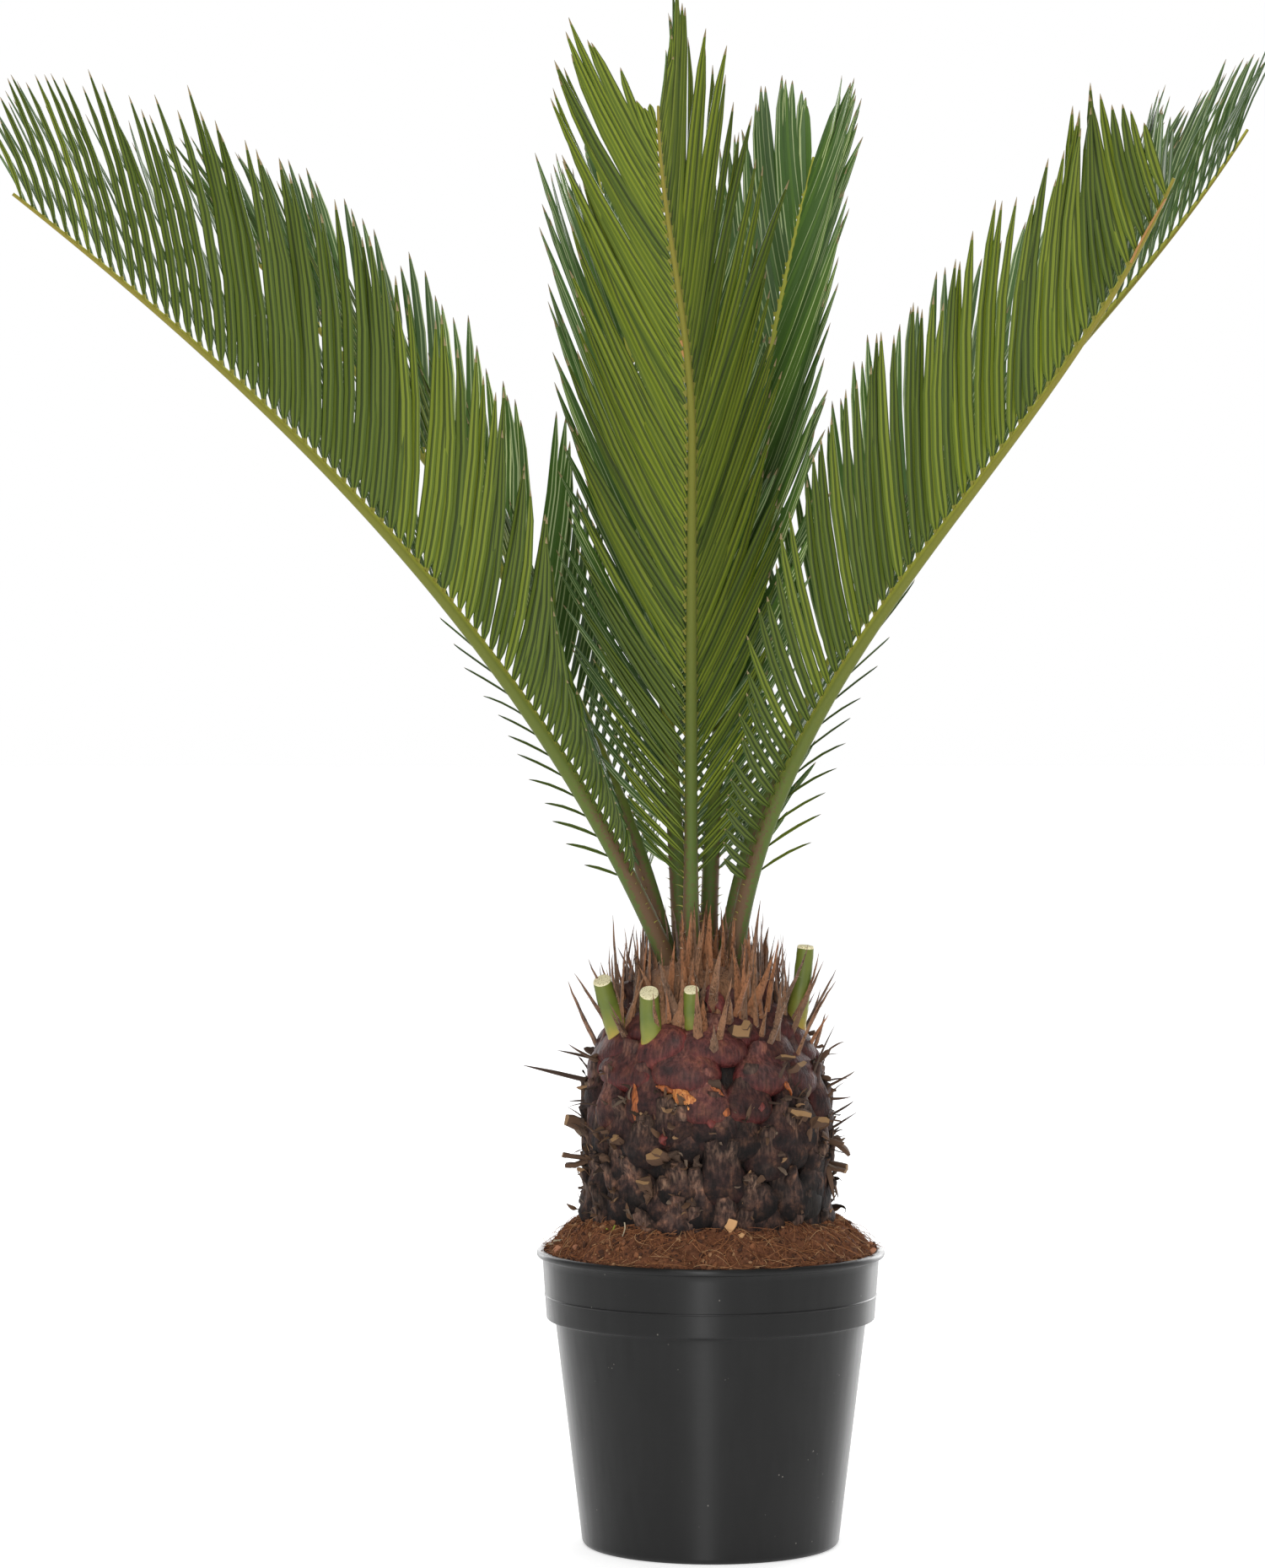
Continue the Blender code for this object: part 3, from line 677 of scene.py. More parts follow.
# Wood chips, pale root ends and green threads: x and y, length, width and thickness in mm, then lean
# and turn in degrees, and the shade
BITS = np.array(
    [
        (8.6, -62.0, 5.6, 4.6, 1.6, 62, 0, 0), (13.4, -64.5, 2.6, 2.2, 1.6, 20, 40, 0),
        (-66.0, -32.0, 2.6, 2.0, 1.4, 30, 60, 1), (77.0, -6.0, 2.8, 2.2, 1.8, 40, 0, 1),
        (76.0, -13.0, 2.2, 1.8, 1.4, 10, 90, 0), (78.0, 2.0, 2.4, 1.6, 1.4, 60, 20, 1),
        (-76.0, -8.0, 7.0, 0.9, 0.8, 12, -20, 2), (-73.0, -16.0, 8.0, 0.8, 0.7, 8, 30, 2),
        (-47.5, -42.5, 5.0, 0.7, 0.6, 50, -60, 3), (-50.0, -41.0, 4.0, 0.7, 0.6, 20, 250, 3),
        (-42.5, -50.0, 7.0, 0.5, 0.5, 80, 0, 2), (40.0, 58.0, 5.0, 4.0, 1.6, 20, 30, 0),
        (-30.0, 66.0, 4.0, 3.0, 1.6, 30, 110, 1), (66.0, 28.0, 3.4, 2.6, 1.4, 15, 70, 0),
        (78.0, -24.0, 3.0, 2.2, 1.6, 35, 40, 1), (-75.0, -22.0, 3.6, 2.6, 1.6, 50, 10, 1),
    ]
)


class SAGO_OT_soil(bpy.types.Operator):
    """Makes the mound of potting mix with its crumbs, fibres and chips"""

    bl_idname = "sago.soil"
    bl_label = "Potting mix"

    def execute(self, context):
        settings = context.scene.sago_soil
        pot = context.scene.sago_pot
        self.mound(pot.foot_radius, coir_mix(settings.colour))
        rng = np.random.default_rng(11)
        self.crumbs(rng, settings.grains)
        strands = plains(COIR)
        self.fibres(rng, settings.fibres, strands)
        self.stray_fibres(rng, pot, strands)
        self.bits()
        return {"FINISHED"}

    def mound(self, foot, mix):
        """The solid body of mix, from the pot's floor up its wall and over the mound."""
        floor = FLOOR + SOIL_GAP
        below = [(0.01, floor), (inner_wall(floor, foot) - 0.003, floor)]
        below += [(inner_wall(h, foot) - SOIL_GAP, h) for h in (0.01, 0.05, COLLAR_FOOT - 0.002)]
        below += [(COLLAR_RADIUS - WALL - 0.0006, COLLAR_FOOT + 0.004), (0.0797, 0.137)]
        angles = np.arange(MOUND_SIDES) * 2 * np.pi / MOUND_SIDES
        radii = np.linspace(0.0802, 0.05, 46)
        x = radii[:, None] * np.cos(angles)
        y = radii[:, None] * np.sin(angles)
        top = np.stack([x, y, soil_height(x, y)], axis=-1)
        lowest = turned(np.array(below), MOUND_SIDES)[0]
        hidden = turned(np.array([(0.03, 0.156), (0.01, 0.156)]), MOUND_SIDES)[0]
        rings = np.concatenate([lowest, top, hidden])[None]
        piece("potting_mix", [skin(rings)], [mix], ["soil"], 80.0)

    def crumbs(self, rng, count):
        """Rounded grains, each longest along an axis of its own."""
        x, y = scattered(count, 0.0545, 0.0813, rng)
        size = MM * rng.gamma(3.0, 0.36, count).clip(0.45, 3.2)
        middle = np.stack([x, y, soil_height(x, y) + 0.15 * size], axis=1)
        axis = unit(rng.standard_normal((count, 3))) * size[:, None] * 0.6
        facing = unit(rng.standard_normal((count, 3)))
        ends = (middle - axis, middle + axis, np.zeros((count, 3)))
        rings = reeds(*ends, facing, 1.1 * size, 0.8 * size, circle(5), CRUMB, CRUMB, 4)
        rings = roughened(rings, 0.22 * MM, 0.0009, 21)
        shades = rng.choice(4, count, p=[0.34, 0.36, 0.22, 0.08])
        dealt("potting_mix_crumbs", rings, shades, plains(CRUMBS))

    def fibres(self, rng, count, strands):
        """Coir fibres that lie on the mound."""
        lines = lying(count, 0.056, 0.0806, (0.004, 0.019), 0.35, 0.0016, rng)
        facing = np.broadcast_to(UP, (count, 3))
        thick = MM * rng.uniform(0.18, 0.42, count)
        rings = reeds(*lines, facing, thick, thick, *STRAND, 8)
        shades = rng.choice(3, count, p=[0.45, 0.42, 0.13])
        dealt("potting_mix_fibres", rings, shades, strands)

    def stray_fibres(self, rng, pot, strands):
        """Fibres that hang over the lip, each at its azimuth and some way past the lip."""
        out = heading(STRAY_TURNS)
        count = len(out)
        past = MM * rng.uniform(-3.5, 2.0, count)
        begin = (0.0765 - MM * rng.uniform(0.0, 6.0, count))[:, None]
        begin = begin * heading(STRAY_TURNS + rng.normal(0.0, 5.0, count))
        starts = begin + soil_height(begin[:, 0], begin[:, 1])[:, None] * UP
        over = np.maximum(past, 0.0)
        high = pot.rim_height + 0.0006 - 0.8 * over + MM * rng.uniform(0.0, 1.6, count)
        ends = (pot.rim_radius + past)[:, None] * out + high[:, None] * UP
        bows = MM * rng.uniform(0.8, 2.2, count)[:, None] * UP
        bows = bows + 0.6 * MM * rng.standard_normal((count, 3))
        thick = MM * rng.uniform(0.22, 0.42, count)
        rings = reeds(starts, ends, bows, out, thick, thick, *STRAND, 12)
        dealt("stray_fibres", rings, rng.integers(0, 3, count), strands, 60.0)

    def bits(self):
        """The chips, root ends and threads, at their own places."""
        x, y = MM * BITS[:, 0], MM * BITS[:, 1]
        long, wide, thick = MM * BITS[:, 2:5].T
        lean, turn = np.radians(BITS[:, 5]), np.radians(BITS[:, 6])
        level = np.cos(lean)
        direction = np.stack([level * np.cos(turn), level * np.sin(turn), np.sin(lean)], axis=1)
        middle = np.stack([x, y, soil_height(x, y) + 0.4 * thick + 0.45 * long * np.sin(lean)], axis=1)
        half = 0.5 * long[:, None] * direction
        facing = np.broadcast_to([0.0, -0.7, 0.7], middle.shape)
        bows = 0.1 * long[:, None] * np.cross(direction, facing)
        rings = reeds(middle - half, middle + half, bows, facing, wide, thick, *STICK, 6)
        rings = roughened(rings, 0.25 * MM, 0.0012, 25)
        dealt("potting_mix_bits", rings, BITS[:, 7].astype(int), plains(CHIPS))


# ---- trunk -----------------------------------------------------------------------------------
# The trunk's outline: its radius at heights
TRUNK_HEIGHTS = (0.15, 0.158, 0.17, 0.186, 0.203, 0.22, 0.235, 0.248, 0.256, 0.262, 0.27)
TRUNK_RADII = (0.0585, 0.0588, 0.059, 0.059, 0.0602, 0.059, 0.0552, 0.049, 0.043, 0.0375, 0.035)
# Rings of leaf bases: lowest height, step, rings, bases in a ring, azimuth of the first base (from
# the front, -Y, towards +X), turn from ring to ring beyond half a step, and how ripe they are.
BASE_RINGS = ((0.153, 0.0093, 8, 14, -6.0, 2.2, 0.0), (0.2365, 0.01, 3, 10, -10.0, 1.0, 1.0))

# A leaf base's section: a dome of height cos^0.8 over a shallow underside
DOME = np.radians(np.linspace(-90, 90, 11))
BASE_SECTION = np.array(
    [(np.sin(a), np.cos(a) ** 0.8 if abs(np.cos(a)) > 1e-6 else 0.0) for a in DOME]
    + [(0.7, -0.35), (0.0, -0.45), (-0.7, -0.35)]
)
BASE_STATIONS = np.array(
    [0.0, 0.02, 0.05, 0.09, 0.14, 0.2, 0.27, 0.35, 0.44, 0.53, 0.62, 0.71, 0.8, 0.88, 0.95, 1.0]
)
BASE_PLACES = (0.0, 0.05, 0.14, 0.3, 0.48, 0.66, 0.8, 0.92, 1.0)
BASE_WIDTHS = (0.28, 0.62, 0.88, 1.0, 0.9, 0.66, 0.45, 0.33, 0.27)
BASE_DEPTHS = (0.3, 0.72, 1.0, 1.04, 0.86, 0.62, 0.5, 0.44, 0.34)
BASE_LIFTS = (-7.5, -6.6, -5.4, -4.8, -4.3, -3.2, -1.6, 0.2, 1.3)  # mm out from the trunk's outline


class TrunkSettings(bpy.types.PropertyGroup):
    """Sizes and colours of the caudex."""

    base_length: metres("Leaf base length", "Up the trunk", 0.031)
    base_depth: metres("Leaf base depth", "How far a leaf base stands out", 0.0066)
    old_colour: paint("Old leaf bases", "Weathered ones, low on the trunk", "#2b1f1d")
    young_colour: paint("Young leaf bases", "Fleshy ones, high on the trunk", "#502926")


def heading(azimuth):
    """Level unit vectors for azimuths in degrees, from the front (-Y) towards +X."""
    turn = np.radians(azimuth)
    return np.stack([np.sin(turn), -np.cos(turn), 0 * turn], axis=-1)


def on_trunk(azimuth, height, out=0.0):
    """Points of the trunk's outline at azimuths (degrees) and heights, moved out by a distance."""
    lean = -0.0016 - 0.006 * np.clip((height - 0.15) / 0.15, 0.0, 1.0) ** 2.5
    radius = np.interp(height, TRUNK_HEIGHTS, TRUNK_RADII) + out
    level = heading(azimuth) * np.asarray(radius)[..., None]
    return level + np.stack([lean, 0 * height, height], axis=-1)


def leaf_base_cork(settings):
    """Leaf bases of a cycad: corky, weathered grey-brown low on the trunk; fleshy, fibrous and
    purple-brown near the top, crimson at the lower rim. Fine wrinkles run up each base, with painted
    shade in their grooves and painted light on their ridges.

    The mesh says where: ripe is 1 on fleshy bases, rim at their lower edges, tip at dry tips, and the
    tone value is each base's own tone times painted shade, dark in the hollows between bases and full
    on their crests.
    """
    cork = surface("corky leaf bases", {"IOR": 1.45, "Specular IOR Level": 0.35})
    where = add(cork, "TexCoord").outputs["Object"]
    keys = ("ripe", "rim", "tip", "tone")
    ripe, rim, tip, tone = (add(cork, "Attribute", attribute_name=key).outputs["Fac"] for key in keys)
    tall = add(cork, "Mapping", {"Vector": where, "Scale": (1.0, 1.0, 0.28)})
    wrinkle = add(cork, "TexNoise", {"Vector": tall, "Scale": 700.0, "Detail": 5.0})
    patch = add(cork, "TexNoise", {"Vector": where, "Scale": 170.0, "Detail": 6.0, "Roughness": 0.62})
    broad = add(cork, "TexNoise", {"Vector": where, "Scale": 48.0, "Detail": 3.0})
    stops = [(0.34, "#140e0e"), (0.48, settings.old_colour), (0.58, "#4a342b"), (0.7, "#75523f")]
    old = add(cork, "ValToRGB", {"Fac": patch}, stops)
    stops = [(0.34, "#2a1f1a"), (0.54, "#554136"), (0.72, "#7d6450")]
    dry = add(cork, "ValToRGB", {"Fac": wrinkle}, stops)
    stops = [(0.32, "#2c1516"), (0.5, settings.young_colour), (0.64, "#65392d"), (0.78, "#7d5240")]
    young = add(cork, "ValToRGB", {"Fac": patch}, stops)
    # Painted shade: the tone value from the mesh darkens the hollows between bases
    toned = add(cork, "MapRange", {"Value": tone, **span(0.0, 1.0, 0.24, 2.0)})
    bloom = add(cork, "MapRange", {"Value": broad, **span(0.56, 0.76, 0.0, 0.38)})
    # Painted shade and light: darker in the wrinkles' grooves, lighter on their ridges
    groove_shade = add(cork, "MapRange", {"Value": wrinkle, **span(0.36, 0.6, 0.62, 1.2)})
    colour = old
    for share, other, blend in (
        (ripe, young, "MIX"),
        (tip, dry, "MIX"),
        (1.0, toned, "MULTIPLY"),
        (bloom, "#47423f", "MIX"),
        (rim, "#6e2422", "MIX"),
        (1.0, groove_shade, "MULTIPLY"),
    ):
        layers = {0: share, 6: colour, 7: other}
        colour = add(cork, "Mix", layers, data_type="RGBA", blend_type=blend)
    rough = add(cork, "MapRange", {"Value": ripe, **span(0.0, 1.0, 0.86, 0.58)})
    height = add(cork, "Math", {0: patch, 1: 1.4, 2: wrinkle}, operation="MULTIPLY_ADD")
    bump = add(cork, "Bump", {"Strength": 0.85, "Distance": 0.0009, "Height": height})
    return patterned(cork, {"Base Color": colour, "Roughness": rough, "Normal": bump})


def leaf_bases(settings, rng):
    """Overlapping leaf bases as one skin, and where their tips are.

    Bases stand in rings, each turned half a step from the next. A base's path runs straight up the
    trunk's outline and leaves it towards the tip; its domed section widens and narrows like an egg.
    """
    azimuth, height, ripe, share = [], [], [], []
    for low, rise, rings, around, first, drift, ripeness in BASE_RINGS:
        ring, step = np.divmod(np.arange(rings * around), around)
        total = len(ring)
        azimuth.append(first + 360 / around * (step + 0.5 * (ring % 2)) + drift * ring)
        azimuth[-1] += rng.normal(0.0, 48 / around, total) * (1 - 0.5 * ripeness)
        height.append(low + rise * ring + rng.normal(0.0, 0.22 * rise, total) * (1 - 0.5 * ripeness))
        ripe.append(np.clip(ripeness + rng.normal(0.0, 0.12, total), 0.0, 1.0))
        share.append(np.full(total, 1 / around))
    azimuth, height, ripe, share = (np.concatenate(part) for part in (azimuth, height, ripe, share))
    ripe = np.maximum(ripe, 0.8 * ease(height, 0.2, 0.222) * rng.uniform(0.3, 1.0, len(ripe)))
    count = len(height)
    length = settings.base_length * (0.88 + 0.06 * ripe) * rng.uniform(0.78, 1.18, count)
    v = BASE_STATIONS
    heights = height[:, None] + length[:, None] * (v - 0.38)
    out = MM * (np.interp(v, BASE_PLACES, BASE_LIFTS) + rng.normal(0.0, 0.5, count)[:, None])
    azimuths = azimuth[:, None] + rng.normal(0.0, 6.0, count)[:, None] * (v - 0.4)
    paths = on_trunk(azimuths, heights, out)
    across, up = frames(paths, heading(azimuths))
    width = 2 * np.pi * np.interp(height, TRUNK_HEIGHTS, TRUNK_RADII) * share
    width = 0.5 * width * (0.88 + 0.14 * ripe) * rng.uniform(0.8, 1.15, count)
    depth = settings.base_depth * (1.0 + 0.15 * ripe) * rng.uniform(0.85, 1.15, count)
    widths = width[:, None] * np.interp(v, BASE_PLACES, BASE_WIDTHS)
    depths = depth[:, None] * np.interp(v, BASE_PLACES, BASE_DEPTHS)
    rings = sweep(BASE_SECTION, paths, across, up, widths, depths)
    worn = (1.3 - 0.9 * ripe)[:, None, None]
    for size, amount, seed in ((0.009, 1.0, 31), (0.0032, 0.55, 41)):
        shift = noise(rings, size, seed, 2)
        rings = rings + (MM * amount * worn * shift)[..., None] * heading(azimuth)[:, None, None]
    beside = np.abs(BASE_SECTION[:, 0])
    sides = ease(beside, 0.8, 1.0)[None] * ease(v, 0.62, 0.42)[:, None]
    redness = 0.75 * ripe * rng.uniform(0.2, 1.0, count)
    rim = np.maximum(ease(v, 0.24, 0.07)[:, None], sides)[None] * redness[:, None, None]
    dryness = rng.uniform(0.1, 0.85, count) * (1 - 0.35 * ripe)
    tip = ease(v, 0.42, 0.85)[None, :, None] * dryness[:, None, None]
    # Painted shade: dark in the hollows at a base's sides and low end, full on its crest; fleshy bases
    # less so
    crest = ease(v, 0.16, 0.56)[:, None] * (1 - 0.85 * beside**2)[None]
    crest = 1 - (1 - crest)[None] * (1 - 0.45 * ripe)[:, None, None]
    tone = (0.32 + 0.68 * rng.uniform(0.0, 1.0, count))[:, None, None] * crest
    part = skin(rings, ripe=ripe[:, None, None], rim=np.clip(rim, 0.0, 1.0), tip=tip, tone=tone)
    return part, azimuth, paths[:, -2], ripe


# The larger dry stalk ends: azimuth, height, length, width, thickness (mm), lean and turn (degrees)
STALK_ENDS = np.array(
    [
        (-44, 199, 10.0, 12.0, 4.5, 20, 25), (-24, 192, 7.0, 9.0, 5.5, 40, 0),
        (52, 209, 11.0, 15.0, 4.5, 12, -25), (16, 254, 9.0, 10.0, 7.5, 30, 5),
        (-27, 170, 15.0, 8.5, 3.0, 74, 0), (-85, 203, 11.0, 7.0, 6.5, 40, -10),
        (-80, 190, 13.0, 8.0, 3.5, 14, -6), (83, 199, 11.0, 8.0, 3.6, -8, 10),
        (83, 188, 10.0, 7.5, 3.4, -14, 4), (49, 236, 8.0, 12.0, 3.0, 40, 20),
        (140, 205, 10.0, 11.0, 3.6, 25, 8), (172, 188, 9.0, 9.0, 4.0, 30, -8),
        (-128, 214, 11.0, 10.0, 3.6, 20, 8), (-150, 180, 10.0, 9.0, 3.6, 35, 0),
        (118, 176, 10.0, 9.0, 3.2, 25, -10), (-165, 232, 9.0, 9.0, 4.5, 30, 10),
        (100, 243, 8.0, 9.0, 3.6, 40, -10),
    ]
)
# Torn spots: azimuth and height (mm) of each end, width, thickness (mm), how far out the middle line
# lies (mm), and the kind of flesh
TORN = np.array(
    [
        (-17, 228.5, 0, 213.0, 9.0, 4.0, 0.8, 0), (-37, 230.0, -34, 211.0, 4.6, 3.0, 0.8, 1),
        (-24, 228.5, -14, 226.0, 3.4, 2.6, 0.8, 1), (1, 229.0, 8, 224.5, 3.0, 2.6, 0.8, 1),
        (7, 219.5, 9, 215.0, 3.2, 2.4, 0.8, 1), (41, 231.0, 43, 222.0, 2.2, 2.2, 0.8, 1),
        (7, 276.0, 6, 263.0, 6.5, 4.0, 0.8, 2), (128, 230.0, 136, 219.0, 6.0, 3.4, 0.8, 1),
        (-139, 232.0, -131, 224.0, 4.4, 3.0, 0.8, 1), (0, 215.0, 3, 208.5, 4.6, 3.0, 0.8, 2),
        (-21, 207.0, -19, 201.0, 5.0, 2.6, 0.8, 2), (24, 222.0, 26, 216.0, 4.6, 2.6, 0.8, 2),
        (12, 273.0, 14, 262.0, 6.0, 4.0, 0.8, 2), (57, 161.0, 56, 182.0, 21.0, 9.0, -2.0, 3),
    ]
)
# Dry strips at their own places: azimuth, height (mm), rise (degrees), length and width (mm)
STRIPS = np.array(
    [
        (-86, 227, 12, 33.0, 6.0), (-84, 238, 14, 18.0, 4.0), (-72, 238, 30, 17.0, 4.0),
        (80, 236, 38, 17.0, 3.0), (84, 224, 30, 17.0, 3.4), (86, 210, 30, 14.0, 3.0),
        (66, 232, 66, 26.0, 3.4), (88, 218, 5, 11.0, 3.6), (76, 186, -78, 17.0, 7.0),
        (83, 182, -70, 13.0, 6.0),
    ]
)
LOOSE_STRIPS = 46  # scattered ones, besides those
HUSK_FAN = 6  # husks at a leaf base's tip
HUSKS = {"dark husk": "#33271f", "brown husk": "#5c4432", "grey husk": "#6a5a4c", "tan husk": "#937354"}


class SAGO_OT_trunk(bpy.types.Operator):
    """Makes the caudex: its core, leaf bases, old stalk ends, husks, dry strips and torn flesh"""

    bl_idname = "sago.trunk"
    bl_label = "Trunk"

    def execute(self, context):
        settings = context.scene.sago_trunk
        rng = np.random.default_rng(5)
        cork = leaf_base_cork(settings)
        angles = np.linspace(0.0, 360.0, 240, endpoint=False)
        heights = np.linspace(0.1503, 0.266, 110)[:, None]
        plain = on_trunk(angles + 0 * heights, heights + 0 * angles, -0.005)
        relief = MM * (0.9 * noise(plain, 0.008, 51, 2) + 0.5 * noise(plain, 0.003, 55))
        rings = plain + relief[..., None] * heading(angles)
        # The core shows only in the gaps between bases; its low tone paints it in shade
        core = skin(rings[None], ripe=0.0, rim=0.0, tip=0.0, tone=0.06)
        piece("caudex_core", [core], [cork], ["trunk"], 70.0)

        bases, azimuth, tips, ripe = leaf_bases(settings, rng)
        piece("caudex_leaf_bases", [bases], [cork], (), 70.0)
        browns = plains({"weathered stalk fibre": "#5c4637", "grey-brown husk": "#4b3b31"}, 0.9)
        cut = plains({"cut stalk face": "#8a6c4a"})
        self.stalk_ends(rng, azimuth, tips, ripe, browns + cut)
        self.husks(rng, azimuth, tips, ripe)
        self.flesh()
        self.strips(rng, browns)
        return {"FINISHED"}

    def stalk_ends(self, rng, azimuth, tips, ripe, materials):
        """Dry ends of old leaf stalks, on many of the lower leaf bases' tips, and the larger ones."""
        chosen = np.flatnonzero((ripe < 0.45) & (rng.uniform(0, 1, len(ripe)) < 0.62))
        count = len(chosen)
        away = heading(azimuth[chosen] + rng.normal(0.0, 16.0, count))
        rise = np.radians(rng.uniform(20.0, 75.0, count))[:, None]
        length = MM * rng.uniform(3.0, 8.5, count)[:, None]
        starts = tips[chosen] - 0.002 * away
        ends = starts + length * (np.cos(rise) * away + np.sin(rise) * UP)
        width = MM * rng.uniform(3.0, 7.0, count)
        thick = MM * rng.uniform(1.0, 3.0, count)

        placed = np.repeat(STALK_ENDS, 2, axis=0)
        placed[:, 2] *= rng.uniform(0.7, 1.1, len(placed))
        placed[:, 3:5] *= rng.uniform(0.35, 0.95, (len(placed), 2))
        placed[:, 0] += rng.normal(0.0, 3.0, len(placed))
        placed[:, 1] += rng.normal(0.0, 1.2, len(placed))
        placed[:, 5:] += rng.normal(0.0, 13.0, (len(placed), 2))
        turn, high, long, broad, deep, lean, yaw = placed.T
        lean = np.radians(lean)[:, None]
        begin = on_trunk(turn, high * MM, 0.0005)
        finish = begin + MM * long[:, None] * (np.cos(lean) * heading(turn + yaw) + np.sin(lean) * UP)
        starts = np.concatenate([starts, begin - 0.004 * heading(turn)])
        ends = np.concatenate([ends, finish])
        facing = UP + 0.4 * np.concatenate([away, heading(turn)])
        width = np.concatenate([width, MM * broad])
        thick = np.concatenate([thick, MM * deep])
        total = len(starts)
        bows = MM * rng.normal(0.0, 1.1, (total, 3))
        rings = reeds(starts, ends, bows, facing, width, thick, *STICK, 7)
        rings = roughened(rings, 0.75 * MM, 0.0034, 61)
        shades = rng.choice(2, total, p=[0.6, 0.4])
        shades[count:] = 0
        caps = np.where(np.arange(total) >= count, 2, shades)
        dealt("old_stalk_ends", rings, shades, materials, 30.0, caps)

    def husks(self, rng, azimuth, tips, ripe):
        """Ragged husks: thin strips that fan out from each lower leaf base's tip."""
        lower = np.flatnonzero((ripe < 0.6) & (rng.uniform(0, 1, len(ripe)) < 0.75))
        chosen = np.repeat(lower, HUSK_FAN)
        count = len(chosen)
        away = heading(azimuth[chosen] + rng.normal(0.0, 30.0, count))
        out = heading(azimuth[chosen])
        rise = np.radians(rng.uniform(-35.0, 88.0, count))[:, None]
        length = MM * rng.uniform(3.0, 11.0, count)[:, None]
        beside = np.cross(UP, out) * (MM * rng.normal(0.0, 3.0, count))[:, None]
        starts = tips[chosen] - 0.0015 * out + beside - 0.002 * UP
        ends = starts + length * (np.cos(rise) * away + np.sin(rise) * UP)
        bows = 0.16 * length * rng.standard_normal((count, 3))
        width = MM * rng.uniform(1.2, 3.6, count)
        thick = MM * rng.uniform(0.35, 0.8, count)
        rings = reeds(starts, ends, bows, out + 0.5 * UP, width, thick, SCALE_LEAF, RAGGED, RAGGED, 8)
        rings = roughened(rings, 0.3 * MM, 0.002, 65)
        shades = rng.choice(4, count, p=[0.3, 0.3, 0.25, 0.15])
        dealt("ragged_husks", rings, shades, plains(HUSKS, 0.9), 50.0)

    def flesh(self):
        """Flesh where leaf bases were torn off: orange, dark orange and crimson, and one dry scale."""
        turn, high, turn_end, high_end, broad, deep, lift, kind = TORN.T
        starts = on_trunk(turn, MM * high, MM * lift)
        ends = on_trunk(turn_end, MM * high_end, MM * lift)
        out = heading((turn + turn_end) / 2)
        size = (MM * broad, MM * deep)
        rings = reeds(starts, ends, 0.0012 * out, out, *size, circle(12), ROUNDED, ROUNDED, 12)
        rings = roughened(rings, 0.9 * MM, 0.0035, 71)
        materials = [torn_flesh("#cf8a4c", "#9c5428"), torn_flesh("#a85f30", "#6a341c")]
        materials += [torn_flesh("#70302a", "#47201d"), torn_flesh("#2a2522", "#171413", 0.9)]
        dealt("torn_flesh", rings, kind.astype(int), materials, 50.0)

    def strips(self, rng, materials):
        """Dry strips that stand out from the trunk."""
        count = LOOSE_STRIPS
        ranges = ((-180.0, 180.0), (190.0, 238.0), (-10.0, 65.0), (6.0, 17.0), (1.6, 3.2))
        loose = [rng.uniform(low, high, count) for low, high in ranges]
        turn, high, rise, length, broad = np.concatenate([np.array(loose).T, STRIPS]).T
        rise = np.radians(rise)[:, None]
        length = MM * length[:, None]
        broad = MM * broad
        total = len(turn)
        away = heading(turn + rng.normal(0.0, 14.0, total))
        starts = on_trunk(turn, MM * high, 0.001)
        ends = starts + length * (np.cos(rise) * away + np.sin(rise) * UP)
        bows = 0.05 * length * rng.standard_normal((total, 3))
        bows[count : count + 2] = 0.0
        rings = reeds(starts, ends, bows, away + UP, broad, 0.6 * broad, *SPIKE, 10)
        dealt("dry_strips", rings, rng.integers(0, 2, total), materials)


def torn_flesh(light, dark, roughness=0.55):
    """Torn plant flesh: moist and fibrous, striped along the fibres."""
    flesh = surface("torn flesh", {"Roughness": roughness, "IOR": 1.4})
    where = add(flesh, "TexCoord").outputs["Object"]
    stretch = {"Vector": where, "Rotation": (0.0, 0.75, 0.0), "Scale": (1.0, 1.0, 0.15)}
    along = add(flesh, "Mapping", stretch)
    fibre = add(flesh, "TexNoise", {"Vector": along, "Scale": 1100.0, "Detail": 3.0})
    ramp = add(flesh, "ValToRGB", {"Fac": fibre}, [(0.36, dark), (0.58, light)])
    bump = add(flesh, "Bump", {"Strength": 0.6, "Distance": 0.0004, "Height": fibre})
    return patterned(flesh, {"Base Color": ramp, "Normal": bump})


# ---- crown -----------------------------------------------------------------------------------
class CrownSettings(bpy.types.PropertyGroup):
    """Counts and colour of the felted crown."""

    spikes: number("Spikes", "Dry scale leaves round the trunk's shoulder", 58)
    scale_leaves: number("Scale leaves", "Felted scale leaves of the crown", 190)
    hairs: number("Hairs", "Short felt hairs", 3600)
    colour: paint("Felt", "Of the scale leaves", "#7d5a41")


def felt(name, colour):
    """Scale leaf of a cycad: matt brown felt of short hairs, with a rim that catches the light."""
    matt = {"Roughness": 0.95, "Specular IOR Level": 0.15}
    felted = surface(name, {**matt, "Sheen Weight": 0.25, "Sheen Roughness": 0.5})
    where = add(felted, "TexCoord").outputs["Object"]
    tall = add(felted, "Mapping", {"Vector": where, "Scale": (1.0, 1.0, 0.4)})
    nap = add(felted, "TexNoise", {"Vector": tall, "Scale": 1400.0, "Detail": 4.0})
    patch = add(felted, "TexNoise", {"Vector": where, "Scale": 120.0, "Detail": 3.0})
    mixed = add(felted, "Math", {0: patch, 1: 0.7, 2: nap}, operation="MULTIPLY_ADD")
    stops = [(0.62, shaded(colour, 0.32)), (0.82, colour), (1.0, shaded(colour, 1.35))]
    ramp = add(felted, "ValToRGB", {"Fac": mixed}, stops)
    bump = add(felted, "Bump", {"Strength": 0.8, "Distance": 0.0004, "Height": nap})
    return patterned(felted, {"Base Color": ramp, "Normal": bump})


